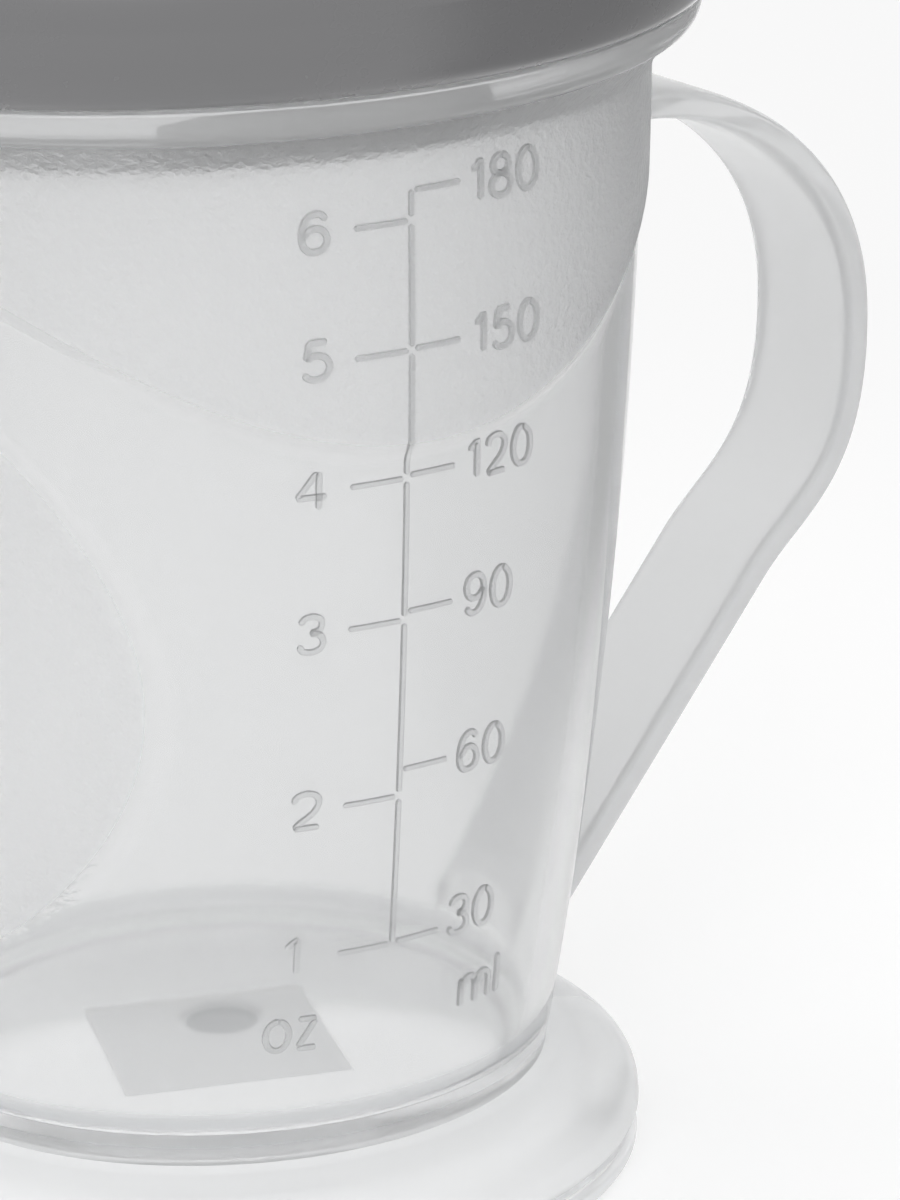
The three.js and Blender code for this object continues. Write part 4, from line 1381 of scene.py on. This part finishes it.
@dataclass
class ScrewLid:
    """The grey lid: domed crown, skirt, plug, a bay for the spout, a scoop for a thumb and a vent."""

    edge_radius: float = 37.4
    edge_z: float = 89.2
    widest_radius: float = 39.2
    widest_z: float = 93.2
    side_powers: tuple[float, float] = (2.2, 0.85)
    shoulder_radius: float = 35.3
    shoulder_z: float = 102.0
    shoulder_rows: tuple[int, int] = (18, 38)
    shoulder_rounds: int = 3
    crown_z: float = 105.1
    crown_thickness: float = 2.1
    skirt_inner: float = 36.2
    plug_inner: float = 29.0
    plug_outer: float = 31.0
    plug_bottom_z: float = 92.0
    plug_root_z: float = 101.4
    plug_root_inset: float = 1.5
    seal_z: float = 99.9
    thread_depth: float = 1.6
    bay_half_width: float = 8.7
    bay_front_y: float = -25.0
    bay_back_y: float = 9.5
    bay_floor_z: float = 95.8
    bay_wall: float = 2.8
    bay_floor_thickness: float = 2.4
    bay_corner: float = 3.0
    bay_rim: float = 1.0
    bay_foot: float = 0.8
    corner_points: int = 16
    pivot_y: float = -18.5
    pivot_z: float = 101.2
    pin_hole: float = 2.2
    pin_reach: float = 10.6
    well_half_width: float = 10.0
    well_half_depth: float = 7.3
    well_wall: float = 1.6
    well_corner: float = 3.2
    well_bottom_z: float = 84.5
    pocket_radius: float = 4.3
    pocket_depth: float = 1.4
    bore_radius: float = 2.4
    scoop_radius: float = 9.0
    scoop_depth: float = 2.9
    vent_y: float = 24.5
    vent_radius: float = 0.9
    vent_ends: tuple[float, float] = (99.0, 106.0)
    overrun: float = 1.0
    around: int = 240

    @property
    def bay_middle_y(self) -> float:
        """Y of the bay's middle."""
        return (self.bay_back_y + self.bay_front_y) / 2

    @property
    def bay_half_length(self) -> float:
        """Half of the bay's length."""
        return (self.bay_back_y - self.bay_front_y) / 2

    @property
    def bay_under_z(self) -> float:
        """Height of the underside of the bay's floor."""
        return self.bay_floor_z - self.bay_floor_thickness

    @property
    def scoop_middle(self) -> tuple[float, float, float]:
        """Middle of the ball that hollows out the scoop for a thumb."""
        rim_z = float(self.crown(self.bay_back_y))
        return (0.0, self.bay_back_y, rim_z - self.scoop_depth + self.scoop_radius)

    def crown(self, radius: Array) -> Array:
        """Height of the crown's outer face: a parabola that falls to the shoulder."""
        return self.shoulder_z + (self.crown_z - self.shoulder_z) * (1 - (radius / self.shoulder_radius) ** 2)

    def outline(self) -> Array:
        """Outer profile from the lower edge over the widest place and the shoulder to the middle.

        The rows about the shoulder are smoothed a few times with the weights 1, 2 and 1.
        """
        t = np.linspace(0.0, 1.0, 15)[:, None]
        inwards, upwards = self.side_powers
        low = np.hstack([self.edge_radius + (self.widest_radius - self.edge_radius) * np.sin(t * math.pi / 2),
                         self.edge_z + (self.widest_z - self.edge_z) * (1 - np.cos(t * math.pi / 2))])
        side = np.hstack([self.widest_radius - (self.widest_radius - self.shoulder_radius) * t ** inwards,
                          self.widest_z + (self.shoulder_z - self.widest_z) * t ** upwards])[1:]
        radius = self.shoulder_radius * (1 - np.linspace(0.0, 1.0, 26)[1:, None])
        top = np.hstack([radius, self.crown(radius)])
        line = np.vstack([low, side, top])
        first, last = self.shoulder_rows
        for _ in range(self.shoulder_rounds):
            line[first:last] = (line[first - 1:last - 1] + 2 * line[first:last]
                                + line[first + 1:last + 1]) / 4
        return line

    def inner_line(self) -> Array:
        """Inner profile from the middle of the crown's underside round the plug to the skirt's edge."""
        root = self.plug_inner - self.plug_root_inset
        radius = np.linspace(0.0, root, 14)
        under = np.stack([radius, self.crown(radius) - self.crown_thickness], axis=1)
        rest = soften([(root, self.crown(root) - self.crown_thickness),
                       (self.plug_inner, self.plug_root_z), (self.plug_inner, self.plug_bottom_z),
                       (self.plug_outer, self.plug_bottom_z), (self.plug_outer, self.seal_z),
                       (self.skirt_inner, self.seal_z), (self.skirt_inner, self.edge_z),
                       (self.edge_radius, self.edge_z)], [0.8, 0.6, 0.6, 0.3, 0.3, 0.3], 4)
        return np.vstack([under, rest[1:]])

    def shell(self) -> bpy.types.Mesh:
        """Closed skin of the plain lid."""
        line = np.vstack([self.inner_line()[1:-1], self.outline()[:-1]])
        return capped_tube("lid_skin", turned(line[:, 0], line[:, 1], angles(self.around)))

    def slab_outline(self, half_width: float, half_length: float, corner: float) -> Array:
        """Rounded rectangle as points (x, y), anticlockwise from its +X side.

        The point at angle a is the inner rectangle's corner in its quadrant plus the corner radius
        times (cos a, sin a).
        """
        quarter = np.linspace(0.0, math.pi / 2, self.corner_points + 1)
        a = (quarter[None, :] + np.arange(4)[:, None] * math.pi / 2).ravel()
        sx = np.repeat([1.0, -1.0, -1.0, 1.0], len(quarter)) * (half_width - corner)
        sy = np.repeat([1.0, 1.0, -1.0, -1.0], len(quarter)) * (half_length - corner)
        return np.stack([sx + corner * np.cos(a), sy + corner * np.sin(a)], axis=1)

    def slab(self, name: str, middle_y: float, half: tuple[float, float], corner: float,
             levels: Sequence[tuple[float, float]]) -> bpy.types.Mesh:
        """Upright block with rounded corners whose outline grows or shrinks with height.

        Args:
            name: Name of the mesh.
            middle_y: Y of its middle.
            half: Half width and half length.
            corner: Corner radius.
            levels: Pairs of height and growth.

        Returns:
            The closed mesh.
        """
        rings = []
        for z, grow in levels:
            flat = self.slab_outline(half[0] + grow, half[1] + grow, max(corner + grow, 0.2))
            rings.append(np.column_stack([flat[:, 0] + CUP_AXIS_X, flat[:, 1] + middle_y,
                                          np.full(len(flat), z)]))
        return capped_tube(name, np.stack(rings))

    def bay_hollow(self) -> bpy.types.Mesh:
        """Cutter for the spout's bay, with a rounded foot and a soft rim that follows the crown.

        Rows near the crown are laid at a depth below it, d, and grow outwards by the rim radius
        less the height of a quarter circle at d; rows near the floor shrink in a quarter circle.
        """
        middle_y, rim, foot = self.bay_middle_y, self.bay_rim, self.bay_foot

        def grown(grow: float) -> Array:
            """Outline of the bay with its sides moved outwards by a length."""
            return self.slab_outline(self.bay_half_width + grow, self.bay_half_length + grow,
                                     self.bay_corner + grow)

        rings = []
        for turn in np.linspace(0.0, 1.0, 6) * math.pi / 2:
            flat = grown(-foot * (1 - math.sin(turn)))
            rings.append((flat, np.full(len(flat), self.bay_floor_z + foot * (1 - math.cos(turn)))))
        for turn in np.linspace(0.0, 1.0, 7) * math.pi / 2:
            flat = grown(rim * (1 - math.cos(turn)))
            radius = np.hypot(flat[:, 0], flat[:, 1] + middle_y)
            rings.append((flat, self.crown(radius) - rim * (1 - math.sin(turn))))
        flat = grown(rim * 2.2)
        rings.append((flat, np.full(len(flat), self.crown_z + 3.0)))
        stacked = np.stack([np.column_stack([p[:, 0] + CUP_AXIS_X, p[:, 1] + middle_y, z])
                            for p, z in rings])
        return capped_tube("bay_hollow", stacked)

    def bar(self, name: str, radius: float, ends: tuple[float, float], centre: Sequence[float],
            axis: Axis = Axis.UP) -> bpy.types.Mesh:
        """Plain round bar between two heights along its axis."""
        rings = turned(np.array([radius, radius]), np.array(ends), angles(64), centre, axis)
        return capped_tube(name, rings)

    def ball(self, name: str, radius: float, centre: Sequence[float]) -> bpy.types.Mesh:
        """Ball as turned rings, whose radius is the sine and whose height is the cosine."""
        t = np.linspace(0.0, math.pi, 40)[1:-1]
        return capped_tube(name, turned(radius * np.sin(t), -radius * np.cos(t), angles(72), centre))

    def trim(self) -> bpy.types.Mesh:
        """Everything under the crown's outer face within the plug's radius."""
        radius = np.linspace(self.plug_outer, 0.0, 24)
        line = np.vstack([[self.plug_outer, self.well_bottom_z - 2.0],
                          np.stack([radius, self.crown(radius) - 0.02], axis=1)])
        return capped_tube("under_crown", turned(line[:-1, 0], line[:-1, 1], angles(self.around)))

    def inset(self) -> bpy.types.Object:
        """Walls of the bay and the well, trimmed to stay under the crown."""
        wall, under_z = self.bay_wall, self.bay_under_z
        tub = self.slab("bay_walls", self.bay_middle_y,
                        (self.bay_half_width + wall, self.bay_half_length + wall), self.bay_corner + wall,
                        [(under_z, -0.8), (under_z + 0.3, -0.2), (under_z + 0.8, 0.0), (110.0, 0.0)])
        piece = add_object("lid_inset", tub)
        well = self.slab("well_walls", self.pivot_y, (self.well_half_width, self.well_half_depth),
                         self.well_corner,
                         [(self.well_bottom_z, -0.35), (self.well_bottom_z + 0.35, 0.0),
                          (self.bay_floor_z - 1.2, 0.0)])
        scoop = self.ball("scoop_walls", self.scoop_radius + self.crown_thickness, self.scoop_middle)
        carve(piece, [(Carve.ADD, well), (Carve.ADD, scoop), (Carve.KEEP_SHARED, self.trim())])
        return piece

    def build(self, cup: CupMoulding) -> list[bpy.types.Object]:
        """Builds and dresses the lid.

        Args:
            cup: The cup, whose thread the lid's ridge matches.

        Returns:
            The finished pieces.
        """
        lid = add_object("screw_lid", self.shell())
        lid.data.materials.append(GreyPlastic().material())
        inset = self.inset()
        inset_mesh = inset.data
        bpy.data.objects.remove(inset)
        ridge = cup.thread(self.skirt_inner, self.skirt_inner - self.thread_depth,
                           cup.thread_from_z + cup.thread_pitch / 2, "lid_thread")
        under_z, over, wall = self.bay_under_z, self.overrun, self.well_wall
        pivot = (0.0, self.pivot_y, 0.0)
        carve(lid, [
            (Carve.ADD, inset_mesh),
            (Carve.ADD, ridge),
            (Carve.TAKE, self.bay_hollow()),
            (Carve.TAKE, self.slab("well_hollow", self.pivot_y,
                                   (self.well_half_width - wall, self.well_half_depth - wall),
                                   self.well_corner - wall,
                                   [(self.well_bottom_z - 2 * over, 0.0), (under_z, 0.0)])),
            (Carve.TAKE, self.ball("scoop", self.scoop_radius, self.scoop_middle)),
            (Carve.TAKE, self.bar("pin_hole", self.pin_hole, (-self.pin_reach, self.pin_reach),
                                  (0.0, self.pivot_y, self.pivot_z), Axis.ACROSS)),
            (Carve.TAKE, self.bar("pocket", self.pocket_radius,
                                  (self.bay_floor_z - self.pocket_depth, self.bay_floor_z + over), pivot)),
            (Carve.TAKE, self.bar("bore", self.bore_radius, (under_z - over, self.bay_floor_z), pivot)),
            (Carve.TAKE, self.bar("vent", self.vent_radius, self.vent_ends, (0.0, self.vent_y, 0.0))),
        ])
        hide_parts("lid_shell")
        finish_piece(lid, Rider.LID, 32.0)
        return [lid]


@dataclass
class SoftSeals:
    """The sealing ring under the lid and the small seat ring under the spout's drum."""

    inner: float = 31.6
    outer: float = 34.2
    bottom_z: float = 97.5
    tall: float = 2.1
    bead: float = 0.5
    seat_inner: float = 2.4
    seat_outer: float = 4.0
    seat_bottom_z: float = 94.7
    seat_top_z: float = 95.9
    seat_y: float = -18.5

    def gasket(self, name: str, corners: Sequence[Sequence[float]], cut: float, centre: Sequence[float],
               count: int) -> bpy.types.Object:
        """Ring of soft section: the rounded section of its corners turned about an upright axis.

        Args:
            name: Name of the piece.
            corners: The section's corners as (radius, z), anticlockwise.
            cut: Rounding of the corners.
            centre: Point on the ring's axis.
            count: Points round the ring.

        Returns:
            The piece.
        """
        wrapped = [corners[-1], *corners, corners[0]]
        section = soften(wrapped, cut, 4)[1:-1]
        rings = turned(section[:, 0], section[:, 1], angles(count), centre)
        return add_object(name, ring_tube(name, rings))

    def build(self) -> list[bpy.types.Object]:
        """Builds and dresses both seals."""
        material = MilkySilicone().material()
        low, high = self.bottom_z, self.bottom_z + self.tall
        middle, bead, flat = (self.inner + self.outer) / 2, self.bead, high - self.bead
        ring = self.gasket("sealing_gasket", [
            (self.inner, low), (self.outer, low), (self.outer, flat), (middle + bead, flat),
            (middle + 0.2, high), (middle - 0.2, high), (middle - bead, flat), (self.inner, flat),
        ], 0.35, (0.0, 0.0, 0.0), 200)
        seat = self.gasket("outlet_gasket", [
            (self.seat_inner, self.seat_bottom_z), (self.seat_outer, self.seat_bottom_z),
            (self.seat_outer, self.seat_top_z - 0.2), (self.seat_outer - 0.5, self.seat_top_z),
            (self.seat_inner + 0.3, self.seat_top_z), (self.seat_inner, self.seat_top_z - 0.2),
        ], 0.2, (0.0, self.seat_y, 0.0), 64)
        for piece, node, rider in ((ring, "sealing_ring", Rider.RING), (seat, "outlet_seal", Rider.LID)):
            piece.data.materials.append(material)
            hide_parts(node)
            finish_piece(piece, rider, 60.0)
        return [ring, seat]


@dataclass
class FlipSpout:
    """The folding spout: a flat oval loft on a drum with two pins, hollow and open at the tip."""

    pivot_y: float = -18.5
    pivot_z: float = 101.2
    lean_degrees: float = 14.0
    drum_radius: float = 5.0
    drum_half: float = 8.1
    pin_radius: float = 1.9
    pin_half: float = 10.3
    length: float = 24.8
    half_width: float = 8.0
    half_depth: float = 4.6
    wall: float = 1.5
    bore_radius: float = 2.2
    tip_hole_radius: float = 0.8
    tip_hole_spacing: float = 3.2
    tip_hole_reach: float = 3.0
    bore_bottom_z: float = 94.0
    section_power: float = 0.85
    sections: tuple[tuple[float, float, float], ...] = (
        (0.0, 0.64, 0.96), (0.17, 0.76, 1.0), (0.34, 0.9, 0.95), (0.53, 0.99, 0.87),
        (0.73, 1.0, 0.78), (0.88, 0.94, 0.67), (0.96, 0.82, 0.5), (1.0, 0.58, 0.26),
    )
    around: int = 96

    def leaned(self, points: Array) -> Array:
        """Turns points about the pivot by the lean and moves them to the pivot.

        A point (x, y, z) goes to (x, y cos l - z sin l, y sin l + z cos l), then to the pivot.
        """
        lean = math.radians(self.lean_degrees)
        x, y, z = points[..., 0], points[..., 1], points[..., 2]
        return np.stack([x + CUP_AXIS_X, y * math.cos(lean) - z * math.sin(lean) + self.pivot_y,
                         y * math.sin(lean) + z * math.cos(lean) + self.pivot_z], axis=-1)

    def loft(self, name: str, grow: float, rows: slice, count: int) -> bpy.types.Mesh:
        """Loft of oval sections whose widths and depths flow smoothly along the spout.

        A section's point at angle a is the half width times a signed power of cos a, and the half
        depth times the same signed power of sin a.

        Args:
            name: Name of the mesh.
            grow: Added to every half width and half depth.
            rows: Which sections are used.
            count: Rings along the loft.

        Returns:
            The closed mesh.
        """
        knots = flowing(np.array(self.sections[rows]), count)
        z = np.repeat(knots[:, :1] * self.length, self.around, axis=1)
        half_w = np.minimum(knots[:, 1] * self.half_width, self.half_width) + grow
        half_d = np.minimum(knots[:, 2] * self.half_depth, self.half_depth) + grow
        c, s = oval(self.around, self.section_power)
        rings = np.stack([half_w[:, None] * c, half_d[:, None] * s, z], axis=-1)
        return capped_tube(name, self.leaned(rings))

    def drum(self) -> bpy.types.Mesh:
        """Drum and its two pins as one turned solid across the lid."""
        r, h, pin = self.drum_radius, self.drum_half, self.pin_half
        line = soften([(0.0, -pin), (self.pin_radius, -pin), (self.pin_radius, -h), (r, -h), (r, h),
                       (self.pin_radius, h), (self.pin_radius, pin), (0.0, pin)],
                      [0.4, 0.1, 0.6, 0.6, 0.1, 0.4], 5)[1:-1]
        rings = turned(line[:, 0], line[:, 1], angles(96), (0.0, self.pivot_y, self.pivot_z), Axis.ACROSS)
        return capped_tube("drum", rings)

    def tip_holes(self) -> list[bpy.types.Mesh]:
        """Three small bars through the tip."""
        a = angles(32)
        made = []
        for n in (-1, 0, 1):
            ring = np.stack([self.tip_hole_radius * np.cos(a) + n * self.tip_hole_spacing,
                             self.tip_hole_radius * np.sin(a)], axis=1)
            rings = np.stack([np.column_stack([ring, np.full(len(a), self.length + z)])
                              for z in (-self.tip_hole_reach, self.tip_hole_reach)])
            made.append(capped_tube(f"tip_hole_{n + 1}", self.leaned(rings)))
        return made

    def build(self) -> list[bpy.types.Object]:
        """Builds and dresses the spout."""
        spout = add_object("folding_spout", self.loft("spout_skin", 0.0, slice(0, 8), 60))
        spout.data.materials.append(GreyPlastic("grey_plastic_spout", roughness=0.24).material())
        bore_ends = np.array([self.bore_bottom_z, self.pivot_z + self.half_depth])
        bore = turned(np.array([self.bore_radius] * 2), bore_ends, angles(48), (0.0, self.pivot_y, 0.0))
        carve(spout, [
            (Carve.ADD, self.drum()),
            (Carve.TAKE, self.loft("spout_hollow", -self.wall, slice(1, 6), 30)),
            (Carve.TAKE, capped_tube("bore", bore)),
            *[(Carve.TAKE, hole) for hole in self.tip_holes()],
        ])
        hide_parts("flip_spout")
        finish_piece(spout, Rider.SPOUT, 40.0)
        return [spout]


@dataclass
class Studio:
    """Pale floor, a soft light and the camera at the photograph's angle.

    The camera's place is in millimetres from the cup's axis; the light, the floor and the
    camera's near and far limits of sight are in metres.
    """

    camera_at: tuple[float, float, float] = (-219.2, -379.6, 185.0)
    right: tuple[float, float, float] = (0.8392, -0.5430, -0.0287)
    up: tuple[float, float, float] = (0.1908, 0.2447, 0.9506)
    forward: tuple[float, float, float] = (0.5092, 0.8033, -0.3090)
    lens: float = 187.8
    sensor_width: float = 36.0
    sight: tuple[float, float] = (0.01, 20.0)
    floor_radius: float = 2.6
    floor_ring_shares: tuple[float, ...] = (0.02, 0.5, 1.0)
    floor_sides: int = 96
    key_at: tuple[float, float, float] = (-0.75, -0.75, 0.95)
    key_size: tuple[float, float] = (0.7, 0.7)
    key_watts: float = 3.0
    lit_point: tuple[float, float, float] = (0.0, 0.0, 0.06)
    bright: float = 0.95
    dark: float = 0.12
    dark_side: tuple[float, float, float] = (0.966, -0.259, 0.0)
    shade_from: float = 0.66
    shade_to: float = 0.86

    def hang(self, name: str, data: bpy.types.ID, axes: Sequence[Sequence[float]],
             at: Sequence[float]) -> bpy.types.Object:
        """Puts a camera or a light into the scene.

        Args:
            name: Name of the object.
            data: The camera or the light.
            axes: Directions of its own x, y and z.
            at: Where it hangs, in metres.

        Returns:
            The object.
        """
        made = add_object(name, data)
        columns = np.column_stack([*axes, at])
        made.matrix_world = Matrix(np.vstack([columns, [0.0, 0.0, 0.0, 1.0]]).tolist())
        return made

    def camera(self) -> None:
        """Places the camera from its position and its three directions."""
        data = bpy.data.cameras.new("camera")
        data.lens = self.lens
        data.sensor_width = self.sensor_width
        data.clip_start, data.clip_end = self.sight
        at = (np.array(self.camera_at) + np.array([CUP_AXIS_X, 0.0, 0.0])) * MM
        axes = (self.right, self.up, -np.array(self.forward))
        bpy.context.scene.camera = self.hang("camera", data, axes, at)

    def floor(self) -> None:
        """A round sheet of pale paper under the cup."""
        sides = self.floor_sides
        a, j = angles(sides), np.arange(sides)
        radii = np.array(self.floor_ring_shares) * self.floor_radius
        rings = np.stack([radii[:, None] * np.cos(a), radii[:, None] * np.sin(a),
                          np.zeros((len(radii), sides))], axis=-1)
        middle = np.full(sides, len(radii) * sides)
        mesh = mesh_from("studio_floor", np.vstack([rings.reshape(-1, 3), np.zeros((1, 3))]),
                         tube_faces(len(radii), sides)[:, ::-1],
                         np.stack([middle, j, (j + 1) % sides], axis=1))
        mesh.materials.append(StudioPaper().material())
        add_object("studio_floor", mesh)

    def light(self, name: str, at: Sequence[float], size: tuple[float, float], watts: float) -> None:
        """Soft rectangular light that faces the cup.

        Args:
            name: Name of the light.
            at: Where it hangs, in metres.
            size: Its width and height in metres.
            watts: Its power.
        """
        data = bpy.data.lights.new(name, "AREA")
        data.shape = "RECTANGLE"
        data.size, data.size_y = size
        data.energy = watts
        away = np.array(at) - np.array(self.lit_point)
        away /= np.linalg.norm(away)
        side = np.cross([0.0, 0.0, 1.0], away)
        side /= np.linalg.norm(side)
        self.hang(name, data, (side, np.cross(away, side), away), at)

    def world(self) -> None:
        """Even pale surroundings that fall off to a darker side at the camera's right."""
        world = bpy.data.worlds.new("studio")
        bpy.context.scene.world = world
        g = Graph(world)
        direction = g.out(g.node("ShaderNodeTexCoord"), "Generated")
        side = g.along(direction, self.dark_side)
        level = self.bright - side.rises(self.shade_from, self.shade_to) * (self.bright - self.dark)
        ramp = g.node("ShaderNodeCombineColor", None, {0: level, 1: level, 2: level})
        light = g.node("ShaderNodeBackground", None, {"Color": g.out(ramp), "Strength": 1.0})
        g.node("ShaderNodeOutputWorld", None, {"Surface": g.out(light)})

    def build(self) -> None:
        """Sets the camera, the floor, the surroundings and the light."""
        self.camera()
        self.floor()
        self.world()
        self.light("key", self.key_at, self.key_size, self.key_watts)
        bpy.context.scene.view_settings.view_transform = "Standard"


def main() -> None:
    """Builds the studio and every sub-assembly, and reports the pieces."""
    logging.basicConfig(level=logging.INFO, format="%(name)s: %(message)s")
    Studio().build()
    cup = CupMoulding()
    pieces = cup.build()
    pieces += ScrewLid().build(cup)
    pieces += SoftSeals().build()
    pieces += FlipSpout().build()
    log.info("%d pieces made", len(pieces))


if __name__ == "__main__":
    main()
